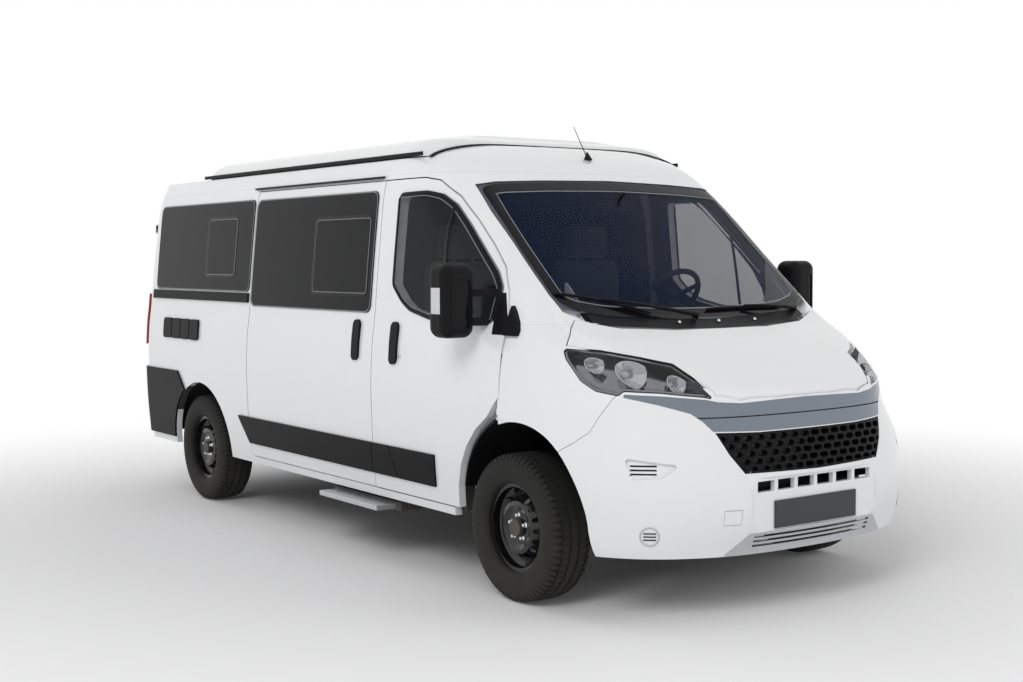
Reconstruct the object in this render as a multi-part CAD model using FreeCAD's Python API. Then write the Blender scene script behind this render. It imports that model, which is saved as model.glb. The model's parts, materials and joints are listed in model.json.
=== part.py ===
import FreeCAD, Part
import math
import os

V = FreeCAD.Vector
os.makedirs("parts", exist_ok=True)

# Camper van, all lengths in millimetres. +X forward, +Y left, +Z up, ground at z = 0,
# origin at mid length. Stations named "..._at" are counted along X from the front axle.

# Whole vehicle
overall_length = 5413.0
wheelbase = 3450.0
front_overhang = 948.0
body_half_width = 1025.0
envelope_top = 2160.0
roof_height = 2085.0
mirror_half_span = 1232.0

# Wall thicknesses, gaps and clearances
wall = 42.0
skin = 24.0
glass_thickness = 6.0
seat_gap = 0.3
shut_gap = 6.0
half_gap = shut_gap / 2
pin_clearance = 0.5
moving_clearance = 5.0
overrun = 60.0

# Wheels and axles
tyre_radius = 342.0
tyre_width = 225.0
rim_lip_radius = 207.0
rim_width = 166.0
rim_sheet = 5.0
track_front = 1810.0
track_rear = 1790.0
hub_radius = 38.5
hub_face_out = 62.0
kingpin_in = 65.0

# Body stations (from the front axle) and heights
door_front_at = -77.0
door_rear_at = -1225.0
slide_door_rear_at = -2720.0
rear_panel_back = 84.0
sill_bottom = 330.0
door_bottom = 372.0
door_top = 1976.0
roof_seam = 2000.0
nose_top = 1330.0
floor_top = 545.0
floor_thickness = 45.0

front_axle_x = overall_length / 2 - front_overhang
rear_axle_x = front_axle_x - wheelbase
nose_x = overall_length / 2
tail_x = -overall_length / 2
rear_panel_x = tail_x + rear_panel_back


def sx(at):
    return front_axle_x + at


# Level table of the outer form, as shares: height of envelope_top, nose reach of
# front_overhang, half width of body_half_width, nose depth of front_overhang,
# squareness of the plan curve, sweep of the sides and lean of the tail of front_overhang.
body_level_shares = (
    (0.1343, 0.9546, 0.9610, 0.654, 2.6, 0.0, 0.0),
    (0.1852, 0.9863, 0.9756, 0.675, 2.6, 0.0, 0.0),
    (0.2407, 1.0000, 0.9854, 0.686, 2.6, 0.0, 0.0),
    (0.3056, 0.9757, 0.9932, 0.686, 2.7, 0.0, 0.0),
    (0.3704, 0.9388, 0.9971, 0.823, 2.8, 0.0, 0.0),
    (0.4259, 0.9040, 1.0000, 1.002, 3.0, 0.0, 0.0),
    (0.4630, 0.8597, 0.9971, 1.034, 3.4, 0.0, 0.0),
    (0.4907, 0.7595, 0.9932, 0.970, 4.0, 0.0, 0.0),
    (0.5231, 0.6118, 0.9883, 0.865, 5.0, 0.0, 0.0),
    (0.5556, 0.4430, 0.9795, 0.717, 6.5, 0.032, 0.0),
    (0.5787, 0.3165, 0.9737, 0.580, 8.0, 0.063, 0.0),
    (0.6481, 0.1319, 0.9600, 0.527, 8.0, 0.084, 0.0),
    (0.7407, -0.1108, 0.9415, 0.475, 8.0, 0.084, 0.010),
    (0.8333, -0.3534, 0.9210, 0.443, 8.0, 0.074, 0.025),
    (0.9120, -0.5591, 0.8927, 0.422, 7.0, 0.063, 0.042),
    (0.9491, -0.6646, 0.8634, 0.401, 6.0, 0.053, 0.053),
    (0.9676, -0.7384, 0.8468, 0.390, 5.0, 0.047, 0.063),
    (0.9861, -0.8333, 0.8098, 0.380, 4.0, 0.040, 0.090),
    (1.0000, -0.9810, 0.7220, 0.359, 3.0, 0.030, 0.120),
)
tail_corner_radius = 110.0
nose_curve_steps = 6
side_lead = 120.0
bend_share = 0.5523


def quarter_bend(start, corner, end):
    """Cubic curve that rounds a square corner like a quarter circle."""
    bend = Part.BezierCurve()
    bend.setPoles([start, start + (corner - start) * bend_share, end + (corner - end) * bend_share,
                   end])
    return bend


def level_wire(row, inset):
    """One closed plan outline of the body at a level."""
    height_share, reach_share, width_share, depth_share, square, sweep_share, lean_share = row
    z = height_share * envelope_top - inset
    half = width_share * body_half_width - inset
    reach = sx(reach_share * front_overhang) - inset
    depth = depth_share * front_overhang
    sweep = sweep_share * front_overhang
    back = rear_panel_x + lean_share * front_overhang + inset
    corner = tail_corner_radius
    points = [V(reach - depth - sweep - side_lead, -half, z)]
    for step in range(-nose_curve_steps, nose_curve_steps + 1):
        angle = math.pi / 2 * step / nose_curve_steps
        side = math.copysign(abs(math.sin(angle)) ** (2 / square), angle) if step else 0
        x = reach - depth + depth * math.cos(angle) - sweep * side * side
        points.append(V(x, half * side, z))
    points.append(V(reach - depth - sweep - side_lead, half, z))
    nose = Part.BSplineCurve()
    nose.interpolate(Points=points, Parameters=[float(i) for i in range(len(points))])
    start, end = points[0], points[-1]
    left_side = Part.LineSegment(end, V(back + corner, half, z))
    rear = Part.LineSegment(V(back, half - corner, z), V(back, corner - half, z))
    right_side = Part.LineSegment(V(back + corner, -half, z), start)
    left_corner = quarter_bend(V(back + corner, half, z), V(back, half, z), V(back, half - corner, z))
    right_corner = quarter_bend(V(back, corner - half, z), V(back, -half, z),
                                V(back + corner, -half, z))
    curves = (nose, left_side, left_corner, rear, right_corner, right_side)
    return Part.Wire([curve.toShape() for curve in curves])


def block(x0, x1, y0, y1, z0, z1):
    return Part.makeBox(x1 - x0, y1 - y0, z1 - z0, V(x0, y0, z0))


made_forms = {}


def envelope(inset):
    """The body's outer form, or the same form set in by a wall."""
    if inset not in made_forms:
        wires = [level_wire(row, inset) for row in body_level_shares]
        made_forms[inset] = Part.makeLoft(wires, True, False)
    return made_forms[inset]


def stepped(inset):
    """The same form with the flat roof behind the raised front cap."""
    above = block(tail_x - overrun, sx(pop_front_at) + inset, -body_half_width, body_half_width,
                  roof_height - inset, envelope_top + overrun)
    return envelope(inset).cut(above)


def grown(points, grow):
    """A closed outline moved outwards by grow, with mitred corners."""
    count = len(points)
    area = sum(points[i][0] * points[(i + 1) % count][1] - points[(i + 1) % count][0] * points[i][1]
               for i in range(count))
    turn = 1 if area > 0 else -1
    moved = []
    for i in range(count):
        ax, ay = points[i - 1]
        bx, by = points[i]
        cx, cy = points[(i + 1) % count]
        first = math.hypot(bx - ax, by - ay)
        second = math.hypot(cx - bx, cy - by)
        n1 = ((by - ay) / first * turn, (ax - bx) / first * turn)
        n2 = ((cy - by) / second * turn, (bx - cx) / second * turn)
        scale = grow / max(0.35, 1 + n1[0] * n2[0] + n1[1] * n2[1])
        moved.append((bx + (n1[0] + n2[0]) * scale, by + (n1[1] + n2[1]) * scale))
    return moved


def rounded_face(points, place, radius=0.0):
    """A flat face from an outline, each corner rounded as far as its sides allow."""
    count = len(points)
    corners = []
    for i in range(count):
        a, b, c = (V(*points[i - 1], 0), V(*points[i], 0), V(*points[(i + 1) % count], 0))
        u = (a - b).normalize()
        w = (c - b).normalize()
        half_turn = u.getAngle(w) / 2
        room = 0.45 * min((a - b).Length, (c - b).Length)
        back = min(room, radius / math.tan(half_turn)) if radius and half_turn < 1.5 else 0
        if back <= 0:
            corners.append((b, None, b))
            continue
        r = back * math.tan(half_turn)
        middle = (u + w).normalize()
        centre = b + middle * (r / math.sin(half_turn))
        corners.append((b + u * back, centre - middle * r, b + w * back))
    edges = []
    for i in range(count):
        start, mid, end = corners[i]
        if mid is not None:
            edges.append(Part.Arc(place(start), place(mid), place(end)).toShape())
        after = corners[(i + 1) % count][0]
        if (after - end).Length > seat_gap / 10:
            edges.append(Part.LineSegment(place(end), place(after)).toShape())
    return Part.Face(Part.Wire(edges))


def side_prism(points, y0, y1, grow=0.0, radius=0.0):
    """Outline in side view (x, z), between two widths."""
    outline = grown(points, grow) if grow else points
    face = rounded_face(outline, lambda p: V(p.x, y0, p.y), radius)
    return face.extrude(V(0, y1 - y0, 0))


def front_prism(points, x0, x1, grow=0.0, radius=0.0):
    """Outline in front view (y, z), between two stations."""
    outline = grown(points, grow) if grow else points
    face = rounded_face(outline, lambda p: V(x0, p.x, p.y), radius)
    return face.extrude(V(x1 - x0, 0, 0))


def plan_prism(points, z0, z1, grow=0.0, radius=0.0):
    """Outline in plan (x, y), between two heights."""
    outline = grown(points, grow) if grow else points
    face = rounded_face(outline, lambda p: V(p.x, p.y, z0), radius)
    return face.extrude(V(0, 0, z1 - z0))


def mirrored(shape):
    return shape.mirror(V(0, 0, 0), V(0, 1, 0))


def both(shape):
    return [shape, mirrored(shape)]


def pin(x, y, z0, z1, radius):
    return Part.makeCylinder(radius, z1 - z0, V(x, y, z0))


def cross_bar(x, y0, y1, z, radius):
    return Part.makeCylinder(radius, y1 - y0, V(x, y0, z), V(0, 1, 0))


def solids_of(shapes):
    found = []
    for shape in shapes:
        found.extend(shape.Solids)
    return found


def save(name, *shapes):
    solids = solids_of(shapes)
    result = solids[0] if len(solids) == 1 else Part.Compound(solids)
    result.exportStep("parts/" + name + ".step")
    print(name, len(solids), "solids", round(sum(s.Volume for s in solids) / 1e6, 2), "litres")


def biggest(shape):
    return max(shape.Solids, key=lambda s: s.Volume)


# Wheel arches: openings in the outer sheet and the larger hollows behind them
arch_front_at = 60.0
arch_front_z = 395.0
arch_front_radius = 438.0
arch_rear_back = 10.0
arch_rear_z = 332.0
arch_rear_radius = 437.0
arch_flare_low = 55.0
wheelhouse_inner = 560.0
wheelhouse_extra = 20.0
rear_house_inner = 640.0


def arch_opening(x, z, radius, y0, y1, front_spread, back_spread):
    """Round arch that runs down and spreads to the ground."""
    hoop = cross_bar(x, y0, y1, z, radius)
    skirt = side_prism([(x - radius, z), (x + radius, z), (x + radius + front_spread, 0),
                        (x - radius - back_spread, 0)], y0, y1)
    return hoop.fuse(skirt)


def wheelhouses(extra):
    """Hollow spaces for all four wheels, both sides."""
    front = arch_opening(sx(arch_front_at) - extra / 2, arch_front_z, arch_front_radius + extra,
                         wheelhouse_inner - extra, body_half_width + overrun, 0, 0)
    rear = arch_opening(rear_axle_x + arch_rear_back, arch_rear_z, arch_rear_radius + extra,
                        rear_house_inner - extra, body_half_width + overrun, arch_flare_low, 0)
    return both(front) + both(rear)


def cut_all(shape, tools):
    return shape.cut(Part.Compound(list(tools)))


# Front door: outline in side view, seam offsets and hinge
door_arc_radius = 495.0
door_arc_steps = 5
pillar_foot_z = 1300.0
pillar_at = (-77.0, -132.0, -210.0, -323.0, -456.0, -607.0, -764.0, -868.0)
pillar_z = (1300.0, 1416.0, 1527.0, 1635.0, 1753.0, 1874.0, 1959.0, 1976.0)
hinge_at = -125.0
hinge_y = 985.0
hinge_heights = (865.0, 1105.0)
hinge_pin_radius = 7.0
hinge_eye_radius = 13.0
hinge_eye_height = 34.0
hinge_notch_extra = 11.0


def door_outline():
    points = [(sx(door_rear_at), door_bottom)]
    low = math.radians(183)
    high = math.radians(118)
    for step in range(door_arc_steps + 1):
        angle = low + (high - low) * step / door_arc_steps
        points.append((sx(arch_front_at) + door_arc_radius * math.cos(angle),
                       arch_front_z + door_arc_radius * math.sin(angle)))
    points[1] = (points[1][0], door_bottom)
    points.append((sx(door_front_at), arch_front_z + door_arc_radius + wall))
    points.append((sx(door_front_at), pillar_foot_z))
    for at, z in zip(pillar_at[1:-1], pillar_z[1:-1]):
        points.append((sx(at), z))
    points.append((sx(pillar_at[-1]), door_top))
    points.append((sx(door_rear_at), door_top))
    return points


# Windows, in side view. The glass lies outside the wall and laps over the opening.
window_lap = 34.0
pane_out = 5.0
slide_glass = (-2702.0, -1269.0, 1285.0, 1925.0)
quarter_glass = (-4200.0, -2738.0, 1368.0, 1930.0)
window_corner = 45.0
door_glass_at = (-1062.0, -1062.0, -960.0, -880.0, -690.0, -160.0, -160.0, -219.0, -342.0, -472.0,
                 -590.0, -696.0, -810.0)
door_glass_z = (1906.0, 1430.0, 1345.0, 1305.0, 1268.0, 1262.0, 1430.0, 1506.0, 1617.0, 1736.0,
                1834.0, 1888.0, 1909.0)


def window_points(window):
    rear, front, low, high = window
    return [(sx(rear), low), (sx(front), low), (sx(front), high), (sx(rear), high)]


def door_window_points():
    return [(sx(at), z) for at, z in zip(door_glass_at, door_glass_z)]


# Windscreen zone in front view: right half outline, then mirrored. The lower strip is the cowl.
screen_half = ((0.0, 1233.0), (292.0, 1237.0), (586.0, 1255.0), (730.0, 1284.0), (800.0, 1325.0),
               (812.0, 1400.0), (806.0, 1560.0), (797.0, 1800.0), (781.0, 1932.0), (700.0, 1946.0),
               (437.0, 1957.0),
               (0.0, 1966.0))
cowl_height = 42.0
screen_rebate = 7.0


def mirrored_outline(half_points):
    right = [(-y, z) for y, z in reversed(half_points) if y > 0]
    return list(half_points) + right


def screen_outline():
    return mirrored_outline(screen_half)


# Bonnet in plan: half outline from the nose centre back to the screen, then mirrored
bonnet_half = ((842.0, 0.0), (838.0, 180.0), (820.0, 380.0), (788.0, 492.0), (700.0, 541.0),
               (608.0, 580.0), (515.0, 684.0), (389.0, 804.0), (252.0, 884.0), (170.0, 772.0),
               (215.0, 690.0), (268.0, 586.0), (325.0, 292.0), (333.0, 0.0))
bonnet_low = 900.0

# Chassis rails
rail_y = 400.0
rail_width = 90.0
rail_low = 385.0
rail_front_at = 700.0

# Nose, front view half outlines from the centre outwards
bars_top = ((0.0, 950.0), (180.0, 947.0), (380.0, 941.0), (492.0, 950.0), (545.0, 962.0),
            (700.0, 978.0), (815.0, 984.0))
bars_bottom = ((818.0, 970.0), (711.0, 938.0), (609.0, 903.0), (568.0, 869.0), (535.0, 827.0),
               (309.0, 819.0), (0.0, 819.0))
bar_split_z = 884.0
bar_split = 5.0
grille_half = ((0.0, 815.0), (309.0, 815.0), (528.0, 822.0), (485.0, 729.0), (424.0, 646.0),
               (0.0, 638.0))
lamp_u = (-462.0, -295.0, -120.0, 19.0, 110.0, 205.0, 154.0, -26.0, -183.0, -203.0, -305.0,
          -374.0, -444.0)
lamp_z = (1170.0, 1160.0, 1131.0, 1102.0, 1046.0, 960.0, 972.0, 990.0, 996.0, 976.0, 994.0,
          1035.0, 1124.0)
wing_seam_at = (343.0, 414.0, 465.0, 485.0, 520.0, 560.0)
wing_seam_z = (729.0, 773.0, 818.0, 890.0, 960.0, 1010.0)
bumper_bottom = 290.0


def corner_prism(outline, radius=0.0):
    """Outline seen from 45 degrees in plan, on the right side."""
    across = math.sqrt(0.5)
    u0 = sx(0) * across

    def place(p):
        u = p.x + u0
        return V((u + front_overhang) * across, (u - front_overhang) * across, p.y)

    face = rounded_face(outline, place, radius)
    return face.extrude(V(across, -across, 0) * (front_overhang * 2))


def lamp_prism(grow):
    outline = list(zip(lamp_u, lamp_z))
    return corner_prism(grown(outline, grow) if grow else outline, skin)


# Pop-up roof
pop_front_at = -930.0
pop_rear_at = -3650.0
pop_base = 2092.0
pop_level_shares = ((0.0, 1.0, 0.0), (0.22, 0.985, 0.012), (0.55, 0.93, 0.035),
                    (0.80, 0.82, 0.09), (0.94, 0.66, 0.17), (1.0, 0.48, 0.26))
pop_half_width = 868.0
pop_height = 128.0
pop_corner = 130.0
pop_wall = 30.0
pop_hinge_z = 2104.0
pop_hinge_y = 560.0
hatch_at = (-3430.0, -1180.0)
hatch_half = 640.0


def pop_form(inset):
    """Domed roof shell as levels of rounded rectangles."""
    wires = []
    for height_share, width_share, end_share in pop_level_shares:
        half = pop_half_width * width_share - inset
        front = sx(pop_front_at) - shut_gap - end_share * pop_half_width - inset
        rear = sx(pop_rear_at) + end_share * pop_half_width / 2 + inset
        z = pop_base + pop_height * height_share - inset
        points = [(rear, -half), (front, -half), (front, half), (rear, half)]
        face = rounded_face(points, lambda p, z=z: V(p.x, p.y, z), pop_corner)
        wires.append(face.OuterWire)
    return Part.makeLoft(wires, True, False)


outer = envelope(0.0)
room = envelope(wall + seat_gap)
far = body_half_width + overrun
far_up = envelope_top + overrun
wall_shell = outer.cut(envelope(wall))
half_shell = wall_shell.common(block(tail_x - overrun, sx(overrun), 0, far, sill_bottom,
                                     roof_seam - seat_gap))
nose_shell = outer.cut(envelope(skin)).common(block(sx(door_front_at) - door_arc_radius, nose_x
                                                    + overrun, -far, far, 0, nose_top))
door_points = door_outline()

arch_cuts_front = both(arch_opening(sx(arch_front_at), arch_front_z, arch_front_radius,
                                    0, far, arch_flare_low, 0))
arch_cuts_rear = both(arch_opening(rear_axle_x + arch_rear_back, arch_rear_z, arch_rear_radius,
                                   0, far, arch_flare_low, 0))

# Doors, walls and roof come from one wall shell
door_edge_y = 1015.0
door_relief = math.hypot(door_front_at - half_gap - hinge_at, door_edge_y - hinge_y) + moving_clearance
door_lead_radius = door_relief - half_gap
door_slim = 9.0
door_slim_at = -270.0
door_slim_z = (1290.0, 1500.0)


def hinge_notches():
    boxes = []
    for z in hinge_heights:
        half_height = hinge_eye_height / 2 + hinge_notch_extra
        boxes.append(block(sx(hinge_at) - hinge_eye_radius - moving_clearance,
                           sx(door_front_at) + overrun, hinge_y - wall - overrun,
                           hinge_y + hinge_eye_radius + moving_clearance,
                           z - half_height, z + half_height))
    return boxes


def front_door():
    """Left front door with its window opening, hinge notches and hinge pins."""
    door = half_shell.common(side_prism(door_points, body_half_width / 2, far, -half_gap))
    door = biggest(door)
    opening = side_prism(door_window_points(), 0, far, -window_lap / 2, window_corner)
    door = door.cut(opening)
    door = cut_all(door, hinge_notches())
    lead = block(sx(hinge_at), nose_x, hinge_y, far, 0, pillar_foot_z)
    door = door.cut(lead.cut(pin(sx(hinge_at), hinge_y, 0, far_up, door_lead_radius)))
    slim_zone = block(sx(door_slim_at), nose_x, 0, far, door_slim_z[0], door_slim_z[1])
    door = door.cut(envelope(wall - door_slim).common(slim_zone))
    pins = []
    for z in hinge_heights:
        half_height = hinge_eye_height / 2 + hinge_notch_extra
        pins.append(pin(sx(hinge_at), hinge_y, z - half_height - hinge_eye_radius,
                        z + half_height + hinge_eye_radius, hinge_pin_radius))
        for end in (z - half_height - hinge_eye_radius, z + half_height):
            pins.append(pin(sx(hinge_at), hinge_y, end, end + hinge_eye_radius, hinge_eye_radius))
    return biggest(door.fuse(pins))


side_block = block(tail_x - overrun, sx(overrun), 0, far + overrun, 0, roof_seam)
outside_layer = envelope(-seat_gap - pane_out).cut(envelope(-seat_gap)).common(side_block)


def side_pane(points, y0, y1):
    return biggest(outside_layer.common(side_prism(points, y0, y1, 0.0, window_corner)))


door_left = front_door()
door_right = mirrored(door_left)
save("door_left", door_left)
save("door_right", door_right)
glass_left = side_pane(door_window_points(), body_half_width / 2, far)
save("door_glass_left", glass_left)
save("door_glass_right", mirrored(glass_left))

# Mirror, handle and moulding on each front door
mirror_low = 1203.0
mirror_high = 1547.0
mirror_in = 1056.0
mirror_front_at = -196.0
mirror_back_at = -356.0
mirror_corner = 50.0
mirror_panel_rim = 34.0
mirror_panel_deep = 9.0
mirror_glass_rim = 16.0
sail_low = 1215.0
sail_bulge = 46.0
arm_root_at = -186.0
arm_root_y = 905.0
arm_half_width = 34.0
arm_tall = 36.0
arm_heights = (1258.0, 1392.0)
handle_z = (1032.0, 1248.0)
handle_half_width = 34.0
handle_at = -1002.0
handle_out = 14.0
slide_handle_at = -1390.0
moulding_z = (450.0, 609.0)
moulding_out = 12.0
moulding_front_at = -625.0
moulding_rear_low_at = -2709.0
moulding_rear_high_at = -2852.0
groove_low_at = -972.0
groove_high_at = -1056.0

trim_layer = envelope(-seat_gap - moulding_out).cut(envelope(-seat_gap)).common(side_block)


def on_skin(points, radius=0.0, grow=0.0):
    """Left side piece lying on the outer skin, from an outline in side view."""
    prism = side_prism(points, body_half_width / 2, far + overrun, grow, radius)
    return biggest(trim_layer.common(prism))


def moulding(rear_low, rear_high, front_low, front_high):
    low, high = moulding_z
    return on_skin([(sx(rear_low), low), (sx(front_low), low), (sx(front_high), high),
                    (sx(rear_high), high)], half_gap)


def handle(at):
    low, high = handle_z
    outline = [(sx(at) - handle_half_width, low), (sx(at) + handle_half_width, low),
               (sx(at) + handle_half_width, high), (sx(at) - handle_half_width, high)]
    return on_skin(outline, handle_half_width * 0.9)


def mirror_face(rim_high, rim_side, x, deep):
    """Rounded pocket in the mirror's front or back face."""
    inside = [(mirror_in + rim_side, mirror_low + rim_high),
              (mirror_half_span - rim_side, mirror_low + rim_high),
              (mirror_half_span - rim_side, mirror_high - rim_high),
              (mirror_in + rim_side, mirror_high - rim_high)]
    return front_prism(inside, x, x + deep, 0.0, mirror_panel_rim)


def mirror_unit():
    """Housing, arm and the sail plate on the door's front corner, left side."""
    front = sx(door_front_at) - shut_gap
    rear = sx(door_glass_at[5]) + shut_gap
    sail_outline = [(front, sail_low), (front, pillar_foot_z), (sx(pillar_at[1]) - shut_gap,
                    pillar_z[1]), (rear, pillar_z[1]), (rear, sail_low)]
    sail = on_skin(sail_outline)
    behind_hinge = sx(hinge_at) - shut_gap
    bulge_outline = [(behind_hinge, sail_low + shut_gap), (behind_hinge, pillar_foot_z),
                     (sx(pillar_at[1]) - shut_gap * 2, pillar_z[1] - skin),
                     (rear - shut_gap, pillar_z[1] - skin), (rear - shut_gap, sail_low + shut_gap)]
    bulge = envelope(-seat_gap - sail_bulge).cut(envelope(-seat_gap))
    sail = sail.fuse(bulge.common(side_prism(bulge_outline, body_half_width / 2, far + overrun)))
    housing = block(sx(mirror_back_at), sx(mirror_front_at), mirror_in, mirror_half_span,
                    mirror_low, mirror_high)
    housing = housing.makeFillet(mirror_corner, housing.Edges)
    housing = housing.cut(mirror_face(mirror_corner + mirror_panel_rim / 2, mirror_panel_rim,
                                      sx(mirror_front_at) - mirror_panel_deep, overrun))
    housing = housing.cut(mirror_face(mirror_glass_rim, mirror_glass_rim,
                                      sx(mirror_back_at) + mirror_panel_deep, -overrun))
    arms = []
    middle = (sx(mirror_back_at) + sx(mirror_front_at)) / 2
    for z in arm_heights:
        arms.append(plan_prism([(sx(arm_root_at) - arm_half_width, arm_root_y),
                                (sx(arm_root_at) + arm_half_width, arm_root_y),
                                (middle + arm_half_width, mirror_in + mirror_corner),
                                (middle - arm_half_width, mirror_in + mirror_corner)],
                               z, z + arm_tall))
    return sail, housing, arms


sail, housing, arms = mirror_unit()
mirror = biggest(housing.fuse(arms).cut(envelope(-seat_gap - pane_out)).fuse(sail))
door_moulding = [moulding(groove_low_at + half_gap, groove_high_at + half_gap,
                          moulding_front_at, moulding_front_at),
                 moulding(door_rear_at + half_gap, door_rear_at + half_gap,
                          groove_low_at - half_gap, groove_high_at - half_gap)]
trim_left = Part.Compound([mirror, handle(handle_at)] + door_moulding)
save("door_trim_left", trim_left)
save("door_trim_right", mirrored(trim_left))

# Sliding door, right side only
slide_points = [(sx(slide_door_rear_at), door_bottom + wall), (sx(slide_door_rear_at) + wall,
                door_bottom), (sx(door_rear_at), door_bottom), (sx(door_rear_at), door_top),
                (sx(slide_door_rear_at), door_top)]
sliding_door = biggest(half_shell.common(side_prism(slide_points, 0, far, -half_gap)))
sliding_door = sliding_door.cut(side_prism(window_points(slide_glass), 0, far, -window_lap,
                                           window_corner))
save("sliding_door", mirrored(sliding_door))

# Side walls: behind the front doors, with sills, rear corners and window openings
rear_door_half = 862.0
rear_door_low = 560.0
rear_hinge_y = 896.0
rear_hinge_back = 26.0
rear_hinge_heights = (760.0, 1310.0, 1780.0)
rear_eye_radius = 13.0
rear_eye_height = 44.0
rear_zone = block(tail_x, rear_panel_x + tail_corner_radius, -rear_door_half - half_gap,
                  rear_door_half + half_gap, sill_bottom - overrun, far_up)
ahead_of_door = side_prism([(sx(door_rear_at) - half_gap, door_bottom - half_gap),
                            (sx(door_rear_at) - half_gap, far_up), (nose_x + overrun, far_up),
                            (nose_x + overrun, 0), (sx(-wall) - door_arc_radius + arch_front_at, 0),
                            (sx(-wall) - door_arc_radius + arch_front_at,
                             door_bottom - half_gap)], -far, far)


def rear_hinge_brackets():
    """Pins on the rear corners that the rear doors' eyes turn on."""
    hinge_x = rear_panel_x - rear_hinge_back
    parts = []
    for z in rear_hinge_heights:
        half_height = rear_eye_height / 2 + moving_clearance
        plate = wall / 4
        bracket = pin(hinge_x, rear_hinge_y, z - half_height - plate, z + half_height + plate,
                      hinge_pin_radius)
        for low in (z - half_height - plate, z + half_height):
            bracket = bracket.fuse(pin(hinge_x, rear_hinge_y, low, low + plate, rear_eye_radius))
            bracket = bracket.fuse(block(hinge_x, rear_panel_x + wall, rear_hinge_y
                                         - rear_eye_radius, rear_hinge_y + rear_eye_radius,
                                         low, low + plate))
        parts.append(bracket)
    return parts


def side_walls():
    """Left wall, and right wall with the sliding door's opening; both drawn on the left."""
    base = half_shell.cut(ahead_of_door).cut(rear_zone)
    base = cut_all(base, arch_cuts_rear[:1])
    base = base.cut(side_prism(window_points(quarter_glass), 0, far, -window_lap, window_corner))
    base = biggest(base).fuse(rear_hinge_brackets())
    left = base.cut(side_prism(window_points(slide_glass), 0, far, -window_lap, window_corner))
    right = base.cut(side_prism(slide_points, 0, far, half_gap / 2))
    return biggest(left), mirrored(biggest(right))


wall_left, wall_right = side_walls()
save("side_wall_left", wall_left)
save("side_wall_right", wall_right)
panes = [side_pane(window_points(w), body_half_width / 2, far) for w in (slide_glass, quarter_glass)]
save("side_glass", *panes, *[mirrored(p) for p in panes])

# Rear doors
rear_glass = (118.0, 742.0, 1330.0, 1880.0)


def rear_door():
    points = [(half_gap, rear_door_low), (rear_door_half - half_gap, rear_door_low),
              (rear_door_half - half_gap, roof_seam - shut_gap), (half_gap, roof_seam - shut_gap)]
    zone = front_prism(points, tail_x - overrun, rear_panel_x + tail_corner_radius)
    door = biggest(half_shell.common(zone))
    y0, y1, low, high = rear_glass
    hole = [(y0, low), (y1, low), (y1, high), (y0, high)]
    door = door.cut(front_prism(hole, tail_x, sx(-wheelbase), -window_lap, window_corner))
    leaves = []
    hinge_x = rear_panel_x - rear_hinge_back
    for z in rear_hinge_heights:
        low_z = z - rear_eye_height / 2
        leaves.append(pin(hinge_x, rear_hinge_y, low_z, low_z + rear_eye_height, rear_eye_radius))
        leaves.append(block(hinge_x - rear_eye_radius, hinge_x + rear_eye_radius / 2,
                            rear_door_half - wall * 2, rear_hinge_y, low_z, low_z + rear_eye_height))
        leaves.append(block(hinge_x - rear_eye_radius, rear_panel_x + wall,
                            rear_door_half - wall * 2, rear_door_half - wall, low_z,
                            low_z + rear_eye_height))
    door = door.common(pin(hinge_x, rear_hinge_y, 0, far_up, rear_hinge_y - half_gap)).fuse(leaves)
    bores = [pin(hinge_x, rear_hinge_y, z - rear_eye_height, z + rear_eye_height,
                 hinge_pin_radius + pin_clearance) for z in rear_hinge_heights]
    return biggest(cut_all(door, bores))


def rear_pane():
    y0, y1, low, high = rear_glass
    hole = [(y0, low), (y1, low), (y1, high), (y0, high)]
    zone = front_prism(hole, tail_x, rear_panel_x + tail_corner_radius, 0.0, window_corner)
    return biggest(outside_layer.common(zone))


rear_left = rear_door()
save("rear_door_left", rear_left)
save("rear_door_right", mirrored(rear_left))
rear_glass_left = rear_pane()
save("rear_glass_left", rear_glass_left)
save("rear_glass_right", mirrored(rear_glass_left))


# Roof with hatch, pop-up shell and folded tent
roof_block = block(tail_x, nose_x, -far, far, roof_seam, far_up)
roof_shell = stepped(0.0).common(roof_block).cut(stepped(wall))
hatch = [(sx(hatch_at[0]), -hatch_half), (sx(hatch_at[1]), -hatch_half),
         (sx(hatch_at[1]), hatch_half), (sx(hatch_at[0]), hatch_half)]
roof_panel = roof_shell.cut(plan_prism(hatch, roof_seam, far_up, 0.0, wall))
pop_hinge_x = sx(pop_rear_at)
pop_ear = 12.0


def pop_hinge_ears():
    ears = []
    for y in (-pop_hinge_y, pop_hinge_y):
        ear = block(pop_hinge_x - hinge_eye_radius, pop_hinge_x + hinge_eye_radius, y - pop_ear / 2,
                    y + pop_ear / 2, roof_height - half_gap, pop_hinge_z)
        ear = ear.fuse(cross_bar(pop_hinge_x, y - pop_ear * 2, y + pop_ear * 2, pop_hinge_z,
                                 hinge_pin_radius))
        ears.append(ear)
    return ears


roof_panel = biggest(roof_panel).fuse(pop_hinge_ears())
save("roof_panel", biggest(roof_panel))

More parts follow.
